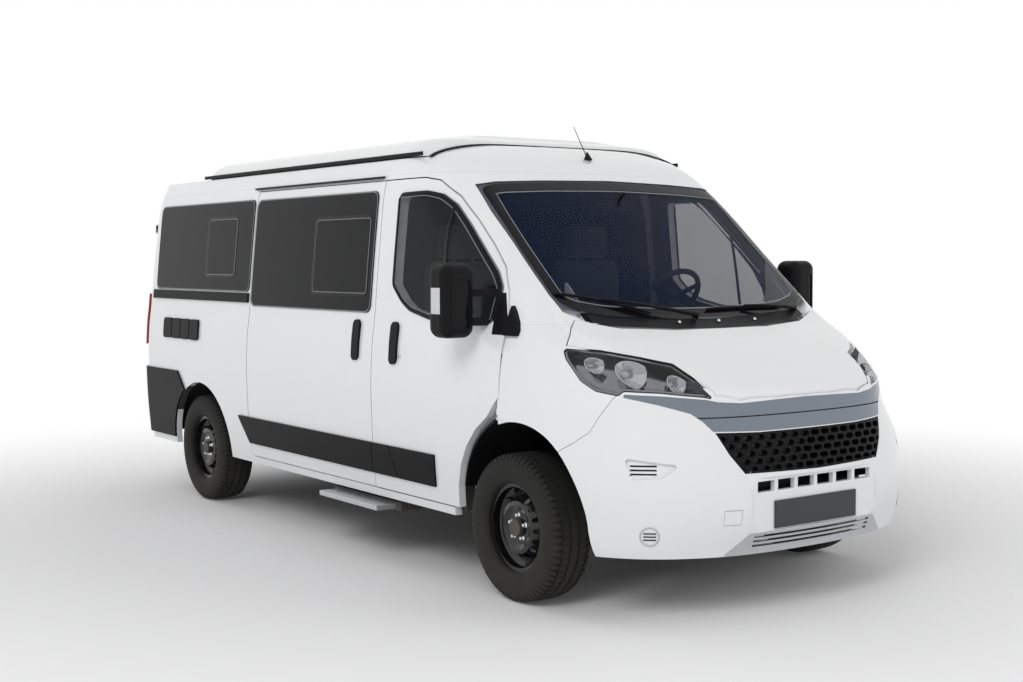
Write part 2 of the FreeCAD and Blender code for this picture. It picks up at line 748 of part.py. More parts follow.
pop_shell = pop_form(0.0).cut(pop_form(pop_wall))
pop_eyes = []
for y in (-pop_hinge_y, pop_hinge_y):
    for side in (-1, 1):
        start = y + side * (pop_ear / 2 + moving_clearance / 2) + (0 if side > 0 else -pop_ear)
        eye = cross_bar(pop_hinge_x, start, start + pop_ear, pop_hinge_z, hinge_eye_radius)
        eye = eye.fuse(block(pop_hinge_x - hinge_eye_radius, pop_hinge_x + hinge_eye_radius, start,
                             start + pop_ear, pop_hinge_z, pop_hinge_z + pop_wall))
        pop_eyes.append(eye)
pop_shell = pop_shell.fuse(pop_eyes)
ear_room = [block(pop_hinge_x - hinge_eye_radius - moving_clearance, pop_hinge_x + hinge_eye_radius
                  + moving_clearance, y - pop_ear / 2 - moving_clearance / 2,
                  y + pop_ear / 2 + moving_clearance / 2, roof_height,
                  pop_hinge_z + hinge_eye_radius + moving_clearance)
            for y in (-pop_hinge_y, pop_hinge_y)]
pop_shell = cut_all(pop_shell, ear_room)
pop_bores = [cross_bar(pop_hinge_x, y - overrun, y + overrun, pop_hinge_z,
                       hinge_pin_radius + pin_clearance) for y in (-pop_hinge_y, pop_hinge_y)]
pop_shell = cut_all(pop_shell, pop_bores)
save("pop_top", biggest(pop_shell))
pop_seal_high = 20.0
pop_seal_thick = 10.0
pop_seal = block(pop_hinge_x + pop_wall, sx(pop_front_at) - shut_gap * 2, pop_half_width + seat_gap,
                 pop_half_width + pop_seal_thick, pop_base, pop_base + pop_seal_high)
save("pop_seal", pop_seal, mirrored(pop_seal))

tent_wall = 16.0
tent_height = 40.0
tent_out = [(sx(hatch_at[0]) - wall, -hatch_half - wall), (sx(hatch_at[1]) + wall, -hatch_half - wall),
            (sx(hatch_at[1]) + wall, hatch_half + wall), (sx(hatch_at[0]) - wall, hatch_half + wall)]
tent = plan_prism(tent_out, roof_height + seat_gap, roof_height + tent_height, 0.0, wall)
tent = tent.cut(plan_prism(tent_out, roof_height, roof_height + overrun * 2, -tent_wall, wall))
save("roof_tent", tent)

# Windscreen, cowl and the cab frame around them
screen_zone_x0 = sx(-pop_half_width)
screen_layer = envelope(half_gap / 3).cut(envelope(half_gap / 3 + glass_thickness))
screen_zone = front_prism(screen_outline(), screen_zone_x0, nose_x, -half_gap / 2)
cowl_line = [(-far, 0), (far, 0), (far, screen_half[4][1] + cowl_height),
             (screen_half[3][0], screen_half[3][1] + cowl_height),
             (screen_half[2][0], screen_half[2][1] + cowl_height),
             (0, screen_half[0][1] + cowl_height),
             (-screen_half[2][0], screen_half[2][1] + cowl_height),
             (-screen_half[3][0], screen_half[3][1] + cowl_height),
             (-far, screen_half[4][1] + cowl_height)]
cowl_zone = front_prism(cowl_line, screen_zone_x0, nose_x)
screen = biggest(screen_layer.common(screen_zone).cut(cowl_zone))
save("windscreen", screen)

firewall_at = -10.0
firewall_thickness = 34.0
ring_out = 50.0
ring_in = 92.0
ring_rear_at = -1330.0
ring_lap = 36.0
post_depth = 90.0
post_top = 1220.0
swing_bands = ((1000.0, 1120.0, 12.0), (1120.0, 1220.0, 34.0), (1220.0, 1416.0, 64.0))
post_at = (-215.0, -40.0)
wing_top = 1270.0
shelf_z = 1215.0
bonnet_hinge_at = 110.0
bonnet_hinge_z = 1285.0
bonnet_hinge_y = 700.0
bonnet_arm = 12.0
bonnet_arm_length = 168.0
bonnet_arm_bend = 55.0
bonnet_arm_drop = 35.0
bonnet_open = 50.0
bracket_front_at = 215.0


bonnet_points = [(sx(at), y) for at, y in bonnet_half]
bonnet_points += [(sx(at), -y) for at, y in reversed(bonnet_half) if y > 0]
bonnet_prism = plan_prism(bonnet_points, bonnet_low, bonnet_low + front_overhang, -half_gap)
bonnet_room = plan_prism(bonnet_points, bonnet_low, bonnet_low + front_overhang, half_gap)


def bonnet_arms(grow=0.0):
    """Arms under the bonnet's rear corners that hold the hinge eyes."""
    arms = []
    for side in (-1, 1):
        y0 = side * bonnet_hinge_y - bonnet_arm / 2 - grow
        wide = bonnet_arm + grow * 2
        top = bonnet_hinge_z + hinge_eye_radius / 2 + grow
        low = bonnet_hinge_z - hinge_eye_radius - grow
        start, bend = sx(bonnet_hinge_at), sx(bonnet_hinge_at) + bonnet_arm_bend
        end = start + bonnet_arm_length
        arm = side_prism([(start, low), (bend, low - bonnet_arm_drop), (end, low - bonnet_arm_drop),
                          (end, top - bonnet_arm_drop), (bend, top - bonnet_arm_drop), (start, top)],
                         y0, y0 + wide)
        arms.append(arm.fuse(cross_bar(sx(bonnet_hinge_at), y0, y0 + wide, bonnet_hinge_z,
                                       hinge_eye_radius + grow)))
    return arms


def arm_sweeps():
    """Slots that the bonnet's arms swing through."""
    slots = []
    reach = bonnet_arm_length + moving_clearance
    for side in (-1, 1):
        y0 = side * bonnet_hinge_y - bonnet_arm / 2 - moving_clearance
        around = hinge_eye_radius + moving_clearance
        angle = math.radians(bonnet_open)
        raised = reach * math.cos(angle) - hinge_eye_radius * math.sin(angle) * 2
        points = [(sx(bonnet_hinge_at) - around, bonnet_hinge_z - around),
                  (sx(bonnet_hinge_at) + bonnet_arm_bend, bonnet_hinge_z - around - bonnet_arm_drop),
                  (sx(bonnet_hinge_at) + reach, bonnet_hinge_z - around - bonnet_arm_drop),
                  (sx(bonnet_hinge_at) + reach, bonnet_hinge_z + reach),
                  (sx(bonnet_hinge_at) + raised, bonnet_hinge_z + reach),
                  (sx(bonnet_hinge_at) - around, bonnet_hinge_z + around)]
        slots.append(side_prism(points, y0, y0 + bonnet_arm + moving_clearance * 2))
    return slots


def bracket_zone():
    """Plates on the bulkhead that carry the bonnet's pins and the cowl."""
    plates = []
    for side in (-1, 1):
        y0, y1 = sorted((side * (bonnet_hinge_y - bonnet_arm / 2 - moving_clearance),
                         side * (bonnet_hinge_y - bonnet_arm * 1.5 - moving_clearance)))
        plates.append(block(sx(firewall_at) - seat_gap, sx(bracket_front_at), y0, y1,
                            shelf_z - seat_gap, bonnet_hinge_z + bonnet_arm_length))
    return Part.Compound(plates)


def bonnet_pins():
    """Pins from the bracket plates through the eyes of the bonnet's arms."""
    parts = []
    for side in (-1, 1):
        y0, y1 = sorted((side * (bonnet_hinge_y - bonnet_arm - moving_clearance),
                         side * (bonnet_hinge_y + bonnet_arm / 2)))
        parts.append(cross_bar(sx(bonnet_hinge_at), y0, y1, bonnet_hinge_z, hinge_pin_radius))
    return parts


def door_swings():
    """Room that the door's front edge turns through; it grows where the side leans inwards."""
    behind = block(tail_x, sx(door_front_at) + half_gap, -far, far, 0, far_up)
    rooms = []
    for side in (-1, 1):
        rooms.append(pin(sx(hinge_at), side * hinge_y, 0, envelope_top, door_relief))
        for low, high, extra in swing_bands:
            room_pin = pin(sx(hinge_at), side * hinge_y, low, high, door_relief + extra)
            rooms.append(room_pin.common(behind))
    return rooms


def cab_frame():
    """Inner door rings, screen frame and bulkhead, with the outer screen pillars."""
    pillars = outer.cut(envelope(wall + skin))
    pillars = pillars.common(block(sx(door_rear_at), nose_x, -far, far, wing_top,
                                   roof_seam - seat_gap))
    door_cut = side_prism(door_points, -far, far, half_gap)
    pillars = pillars.cut(door_cut).cut(bonnet_room)
    ring = envelope(ring_out).cut(envelope(ring_in))
    ring = ring.common(block(sx(ring_rear_at), sx(firewall_at), -far, far, floor_top + seat_gap,
                             roof_seam - wall))
    ring = ring.cut(side_prism(door_points, -far, far, -ring_lap))
    bulkhead = envelope(ring_out).common(block(sx(firewall_at) - firewall_thickness,
                                               sx(firewall_at), -far, far, floor_top + seat_gap,
                                               wing_top))
    shelf = envelope(ring_out).common(block(sx(firewall_at) - firewall_thickness, nose_x, -far, far,
                                            shelf_z - firewall_thickness / 2, shelf_z))
    shelf = shelf.cut(side_prism(door_points, -far, far, half_gap))
    posts = []
    for side in (-1, 1):
        y0, y1 = sorted((side * (hinge_y - post_depth * 2), side * (hinge_y - wall)))
        post = block(sx(post_at[0]), sx(post_at[1]), y0, y1, floor_top + seat_gap, post_top)
        posts.append(post.common(envelope(ring_out)))
    frame = ring.fuse([bulkhead, shelf] + posts)
    frame = cut_all(frame, door_swings())
    frame = frame.fuse([pillars, bracket_zone().common(envelope(skin + seat_gap))])
    eyes = []
    for side in (-1, 1):
        for z in hinge_heights:
            low = z - hinge_eye_height / 2
            y0, y1 = sorted((side * (hinge_y - post_depth), side * hinge_y))
            eyes.append(pin(sx(hinge_at), side * hinge_y, low, low + hinge_eye_height,
                            hinge_eye_radius))
            eyes.append(block(sx(hinge_at) - hinge_eye_radius, sx(hinge_at) + hinge_eye_radius,
                              y0, y1, low, low + hinge_eye_height))
    frame = frame.fuse(eyes)
    bores = [pin(sx(hinge_at), side * hinge_y, 0, envelope_top, hinge_pin_radius + pin_clearance)
             for side in (-1, 1)]
    frame = cut_all(frame, bores)
    rebate = outer.cut(envelope(screen_rebate + seat_gap))
    opening = front_prism(screen_outline(), screen_zone_x0, nose_x, half_gap / 2)
    frame = frame.cut(rebate.common(opening))
    frame = frame.cut(outer.cut(envelope(skin + seat_gap)).common(opening).common(cowl_zone))
    frame = frame.cut(front_prism(screen_outline(), sx(firewall_at) + seat_gap, nose_x, -wall)
                      .common(block(tail_x, nose_x, -far, far, shelf_z + seat_gap, far_up))
                      .cut(bracket_zone()))
    frame = frame.cut(front_prism(screen_outline(), screen_zone_x0, sx(firewall_at) + seat_gap * 2,
                                  -wall).common(block(tail_x, nose_x, -far, far,
                                                      wing_top + seat_gap, far_up)))
    frame = cut_all(frame, wheelhouses(wheelhouse_extra + skin) + arm_sweeps())
    return frame.fuse(bonnet_pins())


frame_solid = cab_frame()
save("cab_frame", biggest(frame_solid))

# Bonnet, cowl, wings, lamps, bars, grille and bumper from the thinner skin
bars_points = mirrored_outline(bars_bottom[::-1] + bars_top[::-1])
grille_points = mirrored_outline(grille_half)
nose_x0 = sx(bonnet_half[8][0])


def nose_prism(points, grow=0.0, radius=0.0):
    return front_prism(points, nose_x0, nose_x + overrun, grow, radius)


lamp_right = lamp_prism(-half_gap / 2)
lamp_room = [lamp_prism(half_gap / 2), mirrored(lamp_prism(half_gap / 2))]
bonnet = nose_shell.common(bonnet_prism)
bonnet = bonnet.cut(nose_prism(bars_points, shut_gap)).cut(nose_prism(grille_points, shut_gap))
bonnet = cut_all(bonnet, [lamp_prism(shut_gap), mirrored(lamp_prism(shut_gap))])
bonnet = bonnet.common(block(tail_x, nose_x, -far, far, bars_top[2][1], far_up))
bonnet = biggest(bonnet)


bonnet_arm_shapes = [a.common(envelope(half_gap)) for a in bonnet_arms()]
bonnet = bonnet.fuse(bonnet_arm_shapes)
bonnet_bores = [cross_bar(sx(bonnet_hinge_at), side * bonnet_hinge_y - wall, side * bonnet_hinge_y
                          + wall, bonnet_hinge_z, hinge_pin_radius + pin_clearance)
                for side in (-1, 1)]
bonnet = cut_all(bonnet, bonnet_bores)
save("bonnet", biggest(bonnet))

cowl_layer = envelope(half_gap).cut(envelope(half_gap + wall / 2))
cowl = cowl_layer.common(front_prism(screen_outline(), screen_zone_x0, nose_x, -half_gap / 2))
cowl = cowl.common(front_prism(cowl_line, screen_zone_x0, nose_x, -half_gap / 2)).cut(bonnet_room)
cowl = cut_all(cowl, arm_sweeps())
save("cowl_panel", biggest(cowl))

seam = [(sx(at), z) for at, z in zip(wing_seam_at, wing_seam_z)]
bumper_zone = seam + [(nose_x + overrun, seam[-1][1]), (nose_x + overrun, 0),
                      (sx(wing_seam_at[0]) - skin, 0)]
bumper_prism = side_prism(bumper_zone, -far, far, -half_gap / 2)
bumper_room = side_prism(bumper_zone, -far, far, half_gap / 2)
bumper = nose_shell.common(bumper_prism).cut(nose_prism(bars_points)).cut(nose_prism(grille_points))
bumper = cut_all(bumper, lamp_room + arch_cuts_front).cut(bonnet_room)
under_bars = nose_prism([(-far, 0), (far, 0), (far, bars_top[-1][1] + skin),
                         (-far, bars_top[-1][1] + skin)])
bumper = biggest(bumper.common(under_bars))
crush_cans = [block(sx(rail_front_at) + seat_gap, nose_x, y - rail_width / 2, y + rail_width / 2,
                    rail_low, floor_top - floor_thickness) for y in (-rail_y, rail_y)]
bumper = bumper.fuse([can.common(envelope(skin / 2)) for can in crush_cans])

# Plate pad with its row of slots, skid strip, fog recesses, tow cap
pad_at = 912.0
pad_half = 402.0
pad_z = (388.0, 624.0)
pad_slots = 6
pad_slot_width = 104.0
pad_slot_pitch = 124.0
pad_slot_z = (560.0, 607.0)
skid_back_at = 800.0
skid_half = ((0.0, 386.0), (397.0, 386.0), (500.0, 299.0), (500.0, 280.0), (0.0, 280.0))
skid_slot_z = (322.0, 343.0, 364.0)
skid_slot_high = 10.0
skid_slot_half = 370.0
fog_outline = ((-175.0, 722.0), (70.0, 692.0), (-8.0, 640.0), (-130.0, 632.0))
fog_deep = 12.0
fog_slit_z = (650.0, 667.0, 684.0)
fog_slit_high = 8.0
fog_slit_u = (-148.0, -34.0)
cover_u = -53.0
cover_z = 391.0
cover_radius = 42.0
cover_groove = 18.0
cover_deep = 8.0
tow_y = (447.0, 532.0)
tow_z = (429.0, 496.0)
tow_groove = 3.0


def rectangle(low_a, high_a, low_b, high_b):
    return [(low_a, low_b), (high_a, low_b), (high_a, high_b), (low_a, high_b)]


def cover_disc(radius):
    """Round cutter along the same 45 degree line as the lamps."""
    across = math.sqrt(0.5)
    u = cover_u + sx(0) * across
    start = V((u + front_overhang / 2) * across, (u - front_overhang / 2) * across, cover_z)
    return Part.makeCylinder(radius, front_overhang, start, V(across, -across, 0))


def bumper_recesses():
    """Shallow pockets of the right half, then the slits that go right through."""
    shallow = outer.cut(envelope(fog_deep)).common(corner_prism(fog_outline, fog_deep))
    ring = cover_disc(cover_radius + cover_groove).cut(cover_disc(cover_radius))
    ring = outer.cut(envelope(cover_deep)).common(ring)
    tow = rectangle(-tow_y[1], -tow_y[0], *tow_z)
    groove = nose_prism(tow, 0.0, half_gap * 2).cut(nose_prism(tow, -tow_groove, half_gap))
    groove = outer.cut(envelope(tow_groove * 2)).common(groove)
    slits = [corner_prism(rectangle(*fog_slit_u, z, z + fog_slit_high), fog_slit_high / 3)
             for z in fog_slit_z]
    return [shallow, ring] + slits, groove


pad_box = block(sx(pad_at), nose_x + overrun, -pad_half, pad_half, *pad_z)
pad_plate = block(sx(pad_at) - skin, sx(pad_at), -pad_half, pad_half, *pad_z)
bumper = bumper.cut(pad_box).fuse(pad_plate.common(envelope(half_gap / 3)))
slot_row = []
for index in range(pad_slots):
    middle_y = (index - (pad_slots - 1) / 2) * pad_slot_pitch
    slot_row.append(nose_prism(rectangle(middle_y - pad_slot_width / 2, middle_y
                                         + pad_slot_width / 2, *pad_slot_z), 0.0, half_gap))
skid_zone = block(sx(skid_back_at), nose_x + overrun, -far, far, 0, far_up)
skid_points = mirrored_outline(skid_half)
recesses, tow_ring = bumper_recesses()
bumper = cut_all(bumper, recesses + [mirrored(r) for r in recesses] + slot_row + [tow_ring])
bumper = biggest(bumper.cut(nose_prism(skid_points).common(skid_zone)))
save("front_bumper", bumper)

skid = nose_shell.common(nose_prism(skid_points, -seat_gap).common(skid_zone))
skid = skid.cut(block(sx(skid_back_at), sx(skid_back_at) + seat_gap, -far, far, 0, far_up))
skid_slots = [nose_prism(rectangle(-skid_slot_half, skid_slot_half, z, z + skid_slot_high), 0.0,
                         half_gap) for z in skid_slot_z]
save("skid_strip", biggest(cut_all(skid, skid_slots)))

bars = nose_shell.common(nose_prism(bars_points, -seat_gap)).cut(bonnet_room)
bars = cut_all(bars, lamp_room)
split = block(nose_x0, nose_x, -far, far, bar_split_z - bar_split / 2, bar_split_z + bar_split / 2)
save("grille_bars", *[s for s in bars.cut(split).Solids if s.Volume > skin ** 3])
# Grille: staggered rows of six-sided openings inside a plain border
mesh_rows = 5
mesh_columns = 16
mesh_pitch_z = 33.0
mesh_pitch_y = 66.0
mesh_half_width = 29.0
mesh_half_high = 12.5
mesh_border = 9.0
mesh_shoulder_share = 0.62


def mesh_openings():
    cells = []
    grille_middle_z = (grille_half[0][1] + grille_half[-1][1]) / 2
    for row in range(mesh_rows):
        z = grille_middle_z + (row - (mesh_rows - 1) / 2) * mesh_pitch_z
        shift = mesh_pitch_y / 4 if row % 2 else -mesh_pitch_y / 4
        for column in range(mesh_columns):
            y = (column - (mesh_columns - 1) / 2) * mesh_pitch_y + shift
            shoulder = mesh_half_width * mesh_shoulder_share
            cells.append(nose_prism([(y - mesh_half_width, z), (y - shoulder, z - mesh_half_high),
                                     (y + shoulder, z - mesh_half_high), (y + mesh_half_width, z),
                                     (y + shoulder, z + mesh_half_high),
                                     (y - shoulder, z + mesh_half_high)]))
    return Part.Compound(cells).common(nose_prism(grille_points, -mesh_border))


grille = nose_shell.common(nose_prism(grille_points, -seat_gap)).cut(mesh_openings())
save("grille", biggest(grille))

lens_layer = envelope(0.0).cut(envelope(glass_thickness))
lens = biggest(lens_layer.common(lamp_right))
save("headlamp_lenses", lens, mirrored(lens))
lamp_lap = 10.0
house = envelope(glass_thickness + seat_gap).cut(envelope(wall + skin)).common(lamp_prism(-half_gap))
flange = envelope(skin + seat_gap).cut(envelope(wall + skin)).common(lamp_prism(lamp_lap))
flange = flange.cut(mirrored(plan_prism(bonnet_points, bonnet_low, far_up, shut_gap)))
house = house.fuse(flange).cut(lamp_prism(-lamp_lap).common(outer.cut(envelope(wall))))
house = biggest(house)
save("headlamp_housings", house, mirrored(house))

wing_area = nose_shell.common(block(sx(door_front_at) - door_arc_radius, nose_x, 0, far,
                                    sill_bottom - overrun / 2, wing_top - seat_gap))
wing = wing_area.cut(bumper_room).cut(bonnet_room)
wing = cut_all(wing, lamp_room + arch_cuts_front)
wing = wing.cut(side_prism(door_points, 0, far, half_gap * 1.5))
wing = wing.cut(front_prism(screen_outline(), screen_zone_x0, nose_x, half_gap / 2))
wing = wing.cut(block(tail_x, sx(door_front_at) - door_arc_radius + wall * 2, 0, far, 0, far_up))
wing = wing.cut(pin(sx(hinge_at), hinge_y, 0, envelope_top, door_relief))
wing = wing.cut(nose_prism(bars_points))
wing = biggest(cut_all(wing, arm_sweeps()))
save("front_wings", wing, mirrored(wing))


# Underbody: floor, sills, rails and cross members in one welded piece
cross_at = (-3900.0, -2900.0, -2100.0, -1300.0, -420.0, 560.0)
cross_width = 70.0
floor_front_at = -44.6
floor_rear_back = 46.0
sill_inner = 905.0


def underbody():
    floor = room.common(block(rear_panel_x + floor_rear_back, sx(floor_front_at), -far, far,
                              floor_top - floor_thickness, floor_top))
    beams = []
    for side in (-1, 1):
        y0, y1 = sorted((side * (rail_y - rail_width / 2), side * (rail_y + rail_width / 2)))
        beams.append(block(rear_panel_x + floor_rear_back, sx(rail_front_at), y0, y1, rail_low,
                           floor_top - floor_thickness))
        y0, y1 = sorted((side * sill_inner, side * far))
        beams.append(room.common(block(sx(slide_door_rear_at) - wall, sx(post_at[0]), y0, y1,
                                       sill_bottom + wall / 2, floor_top - floor_thickness)))
    for at in cross_at:
        half = rail_y if at > floor_front_at else sill_inner + wall / 4
        beams.append(block(sx(at), sx(at) + cross_width, -half, half, rail_low + wall / 2,
                           floor_top - floor_thickness))
    body = floor.fuse(beams)
    body = cut_all(body, wheelhouses(wheelhouse_extra + skin))
    beside_doors = block(sx(door_rear_at) - shut_gap, sx(door_front_at), -far, far, 0, envelope_top)
    return biggest(body.cut(beside_doors.cut(envelope(ring_out))))


body_floor = underbody()
save("underbody", body_floor)

# Arch liners
liner = 6.0


def liners():
    made = []
    inner = wheelhouses(wheelhouse_extra)
    outer_form = wheelhouses(wheelhouse_extra + liner)
    front_clip = side_prism([(sx(arch_front_at) - arch_front_radius * 2, arch_front_z + wall * 2),
                             (sx(arch_front_at) + arch_front_radius * 2, arch_front_z + wall * 2),
                             (sx(arch_front_at) + arch_front_radius * 2, far_up),
                             (sx(arch_front_at) - arch_front_radius * 2, far_up)], -far, far)
    rear_clip = side_prism([(rear_axle_x - arch_rear_radius * 2, arch_rear_z + wall * 2),
                            (rear_axle_x + arch_rear_radius * 2, arch_rear_z + wall * 2),
                            (rear_axle_x + arch_rear_radius * 2, far_up),
                            (rear_axle_x - arch_rear_radius * 2, far_up)], -far, far)
    hinge_room = [pin(sx(hinge_at), side * hinge_y, 0, far_up, hinge_eye_radius + moving_clearance)
                  for side in (-1, 1)]
    skin_room = envelope(skin + seat_gap).cut(side_prism(door_points, -far, far, moving_clearance))
    skin_room = cut_all(skin_room, hinge_room)
    for i in range(4):
        clip = front_clip if i < 2 else rear_clip
        limit = skin_room if i < 2 else room
        made.append(biggest(outer_form[i].cut(inner[i]).common(clip).common(limit)))
    return made


save("arch_liners", *liners())

# Bumper at the rear, with black corners and step
rear_bumper_top = 825.0
rear_bumper_front_at = (-3500.0, -3666.0, -3775.0)
rear_bumper_shoulder = 706.0
rear_bumper_low = 372.0
rear_bumper_proud = 14.0


def rear_bumper():
    form = envelope(-rear_bumper_proud)
    hollow = envelope(seat_gap * -1)
    low_at, shoulder_at, top_at = rear_bumper_front_at
    outline = [(tail_x, rear_bumper_low), (sx(low_at), rear_bumper_low),
               (sx(low_at), rear_bumper_shoulder), (sx(shoulder_at), rear_bumper_shoulder),
               (sx(top_at), rear_bumper_top), (tail_x, rear_bumper_top)]
    corners = form.cut(hollow).common(side_prism(outline, -far, far))
    corners = cut_all(corners, arch_cuts_rear)
    hinge_side = rear_hinge_y + rear_eye_radius + moving_clearance
    corners = corners.cut(block(tail_x - overrun, rear_panel_x + skin, -hinge_side, hinge_side,
                                rear_door_low - wall, far_up))
    step_box = block(tail_x, rear_panel_x - seat_gap, -rear_door_half, rear_door_half,
                     rear_bumper_low + wall, rear_door_low - wall / 2)
    step_box = step_box.makeFillet(skin, [e for e in step_box.Edges
                                          if e.BoundBox.XMax < tail_x + seat_gap
                                          and e.BoundBox.ZLength < seat_gap])
    bar = corners.fuse(step_box)
    return biggest(bar)


save("rear_bumper", rear_bumper())
lamp_tail_z = (980.0, 1330.0)
lamp_tail_y = (878.0, 962.0)
tail_layer = envelope(-seat_gap - skin / 2).cut(envelope(-seat_gap))
tail_zone = block(tail_x - overrun, rear_panel_x + wall, rear_hinge_y
                  + rear_eye_radius + moving_clearance, far, lamp_tail_z[0], lamp_tail_z[1])
tail_lamp = biggest(tail_layer.common(tail_zone))
save("tail_lamps", tail_lamp, mirrored(tail_lamp))

# Black trim on the fixed body
strip_z = 1988.0
strip_height = 14.0
strip_at = (-2770.0, -1251.0)
rail_z = (1304.0, 1362.0)
rail_at = (-4233.0, -2738.0)
vent_at = (-4006.0, -3440.0)
vent_z = (1042.0, 1176.0)
vent_count = 4
vent_gap = 12.0
bead_width = 15.0
corner_plate_at = (-70.0, 7.0, 8.0, -8.0, -48.0, -70.0)
corner_plate_z = (1217.0, 1217.0, 1243.0, 1278.0, 1329.0, 1352.0)


def trim_piece(rear, front, low, high, radius=0.0):
    outline = [(sx(rear), low), (sx(front), low), (sx(front), high), (sx(rear), high)]
    return mirrored(on_skin(outline, radius))


body_moulding = mirrored(moulding(moulding_rear_low_at, moulding_rear_high_at,
                                  door_rear_at - half_gap, door_rear_at - half_gap))
left_moulding = moulding(moulding_rear_low_at, moulding_rear_high_at,
                         door_rear_at - half_gap, door_rear_at - half_gap)
trim_pieces = [trim_piece(strip_at[0], strip_at[1], strip_z, strip_z + strip_height - half_gap),
               trim_piece(rail_at[0], rail_at[1], rail_z[0], rail_z[1], half_gap),
               mirrored(handle(slide_handle_at)), body_moulding, left_moulding]
vent_width = (vent_at[1] - vent_at[0] + vent_gap) / vent_count - vent_gap
for index in range(vent_count):
    start_at = vent_at[0] + index * (vent_width + vent_gap)
    trim_pieces.append(trim_piece(start_at, start_at + vent_width, vent_z[0], vent_z[1], skin))
bead = envelope(-seat_gap - half_gap * 2).cut(envelope(-seat_gap))
trim_pieces.append(biggest(bead.common(block(sx(pop_front_at), sx(pop_front_at) + bead_width, -far,
                                             far, roof_height, far_up))))
trim_pieces += both(on_skin([(sx(at), z) for at, z in zip(corner_plate_at, corner_plate_z)]))
save("body_trim", *trim_pieces)

# Wheels, hubs, axles
wheel_holes = 16
vent_radius = 12.0
vent_circle = 133.0
wheel_profile_share = ((-0.5, 1.0), (-0.45, 1.0), (-0.44, 0.92), (-0.30, 0.91), (-0.20, 0.80),
                       (0.10, 0.80), (0.22, 0.91), (0.44, 0.92), (0.45, 1.0), (0.5, 1.0))


def revolve_profile(points):
    """Closed (axial, radius) outline turned about the wheel axis, which runs along +Y."""
    wire = Part.makePolygon([V(r, a, 0) for a, r in points] + [V(points[0][1], points[0][0], 0)])
    return Part.Face(wire).revolve(V(0, 0, 0), V(0, 1, 0), 360)


def rim():
    """Steel wheel: barrel with drop centre, dished disc with vents and centre hole."""
    top = [(a * rim_width, r * rim_lip_radius) for a, r in wheel_profile_share]
    under = [(a, r - rim_sheet) for a, r in reversed(top)]
    barrel = revolve_profile(top + under)
    face = hub_face_out
    sheet = rim_sheet * 1.6
    drop = wheel_profile_share[4][1] * rim_lip_radius
    inner = hub_radius + pin_clearance
    front_line = [(face, inner), (face, inner * 2), (face + sheet * 1.5, inner * 2.6),
                  (face + sheet, inner * 3.1), (face - sheet * 6, drop - rim_sheet / 2)]
    back_line = [(a - sheet, r) for a, r in reversed(front_line)]
    disc = revolve_profile(front_line + back_line)
    holes = []
    for i in range(wheel_holes):
        angle = 2 * math.pi * i / wheel_holes
        holes.append(cross_bar(vent_circle * math.cos(angle), 0, rim_width,
                               vent_circle * math.sin(angle), vent_radius))
    return biggest(barrel.fuse(disc.cut(Part.Compound(holes))))


tyre_share = ((-0.34, 0.566), (-0.44, 0.60), (-0.5, 0.74), (-0.485, 0.86), (-0.43, 0.955),
              (-0.36, 0.992), (-0.15, 1.0), (0.15, 1.0), (0.36, 0.992), (0.43, 0.955),
              (0.485, 0.86), (0.5, 0.74), (0.44, 0.60), (0.34, 0.566))


def tyre():
    """Tyre ring with its hollow, beads resting on the rim."""
    points = [(a * tyre_width, r * tyre_radius) for a, r in tyre_share]
    ring = revolve_profile(points)
    cavity = [(-0.31, 0.62), (-0.43, 0.72), (-0.42, 0.84), (-0.33, 0.94), (0.33, 0.94), (0.42, 0.84),
              (0.43, 0.72), (0.31, 0.62), (0.24, 0.5), (-0.24, 0.5)]
    ring = ring.cut(revolve_profile([(a * tyre_width, r * tyre_radius) for a, r in cavity]))
    seat = [(a * rim_width, r * rim_lip_radius + seat_gap) for a, r in wheel_profile_share]
    seat[0] = (-tyre_width, seat[0][1])
    seat[-1] = (tyre_width, seat[-1][1])
    under = revolve_profile(seat + [(tyre_width, 1), (-tyre_width, 1)])
    return biggest(ring.cut(under))


rim_left = rim()
tyre_left = tyre()
wheel_places = (("front", sx(0), track_front / 2), ("rear", rear_axle_x, track_rear / 2))
for name, x, y in wheel_places:
    for side, label in ((1, "left"), (-1, "right")):
        for piece, shape in (("rim", rim_left), ("tyre", tyre_left)):
            placed = shape if side > 0 else mirrored(shape)
            placed = placed.copy()
            placed.translate(V(x, side * y, tyre_radius))
            save(piece + "_" + name + "_" + label, placed)

# Front suspension: knuckles turn on pins of the lower arm and the strut foot
kingpin_y = track_front / 2 - kingpin_in
knuckle_low = 226.0
knuckle_high = 448.0
knuckle_half = 34.0
arm_z = (192.0, 214.0)
arm_half = 24.0
arm_inner_y = 420.0
strut_y = 738.0
strut_radius = 24.0
foot_z = (456.0, 482.0)
strut_top = 880.0
king_radius = 11.0


def knuckle():
    """Left steering knuckle with its wheel spindle."""
    body = block(sx(0) - knuckle_half, sx(0) + knuckle_half, kingpin_y - knuckle_half,
                 kingpin_y + knuckle_half, knuckle_low, knuckle_high)
    body = body.makeFillet(knuckle_half / 3, [e for e in body.Edges if e.BoundBox.ZLength > wall])
    spindle_start = kingpin_y
    face_y = track_front / 2 + hub_face_out
    spindle = cross_bar(sx(0), spindle_start, face_y + wall / 2, tyre_radius, hub_radius)
    shoulder = cross_bar(sx(0), spindle_start, face_y - rim_sheet * 1.6 - seat_gap * 2, tyre_radius,
                         hub_radius * 1.5)
    body = body.fuse([spindle, shoulder])
    bore = pin(sx(0), kingpin_y, 0, knuckle_low + wall, king_radius + pin_clearance)
    upper = pin(sx(0), kingpin_y, knuckle_high - wall, knuckle_high + wall,
                king_radius + pin_clearance)
    return biggest(body.cut(bore).cut(upper))


knuckle_left = knuckle()
save("knuckle_left", knuckle_left)
save("knuckle_right", mirrored(knuckle_left))


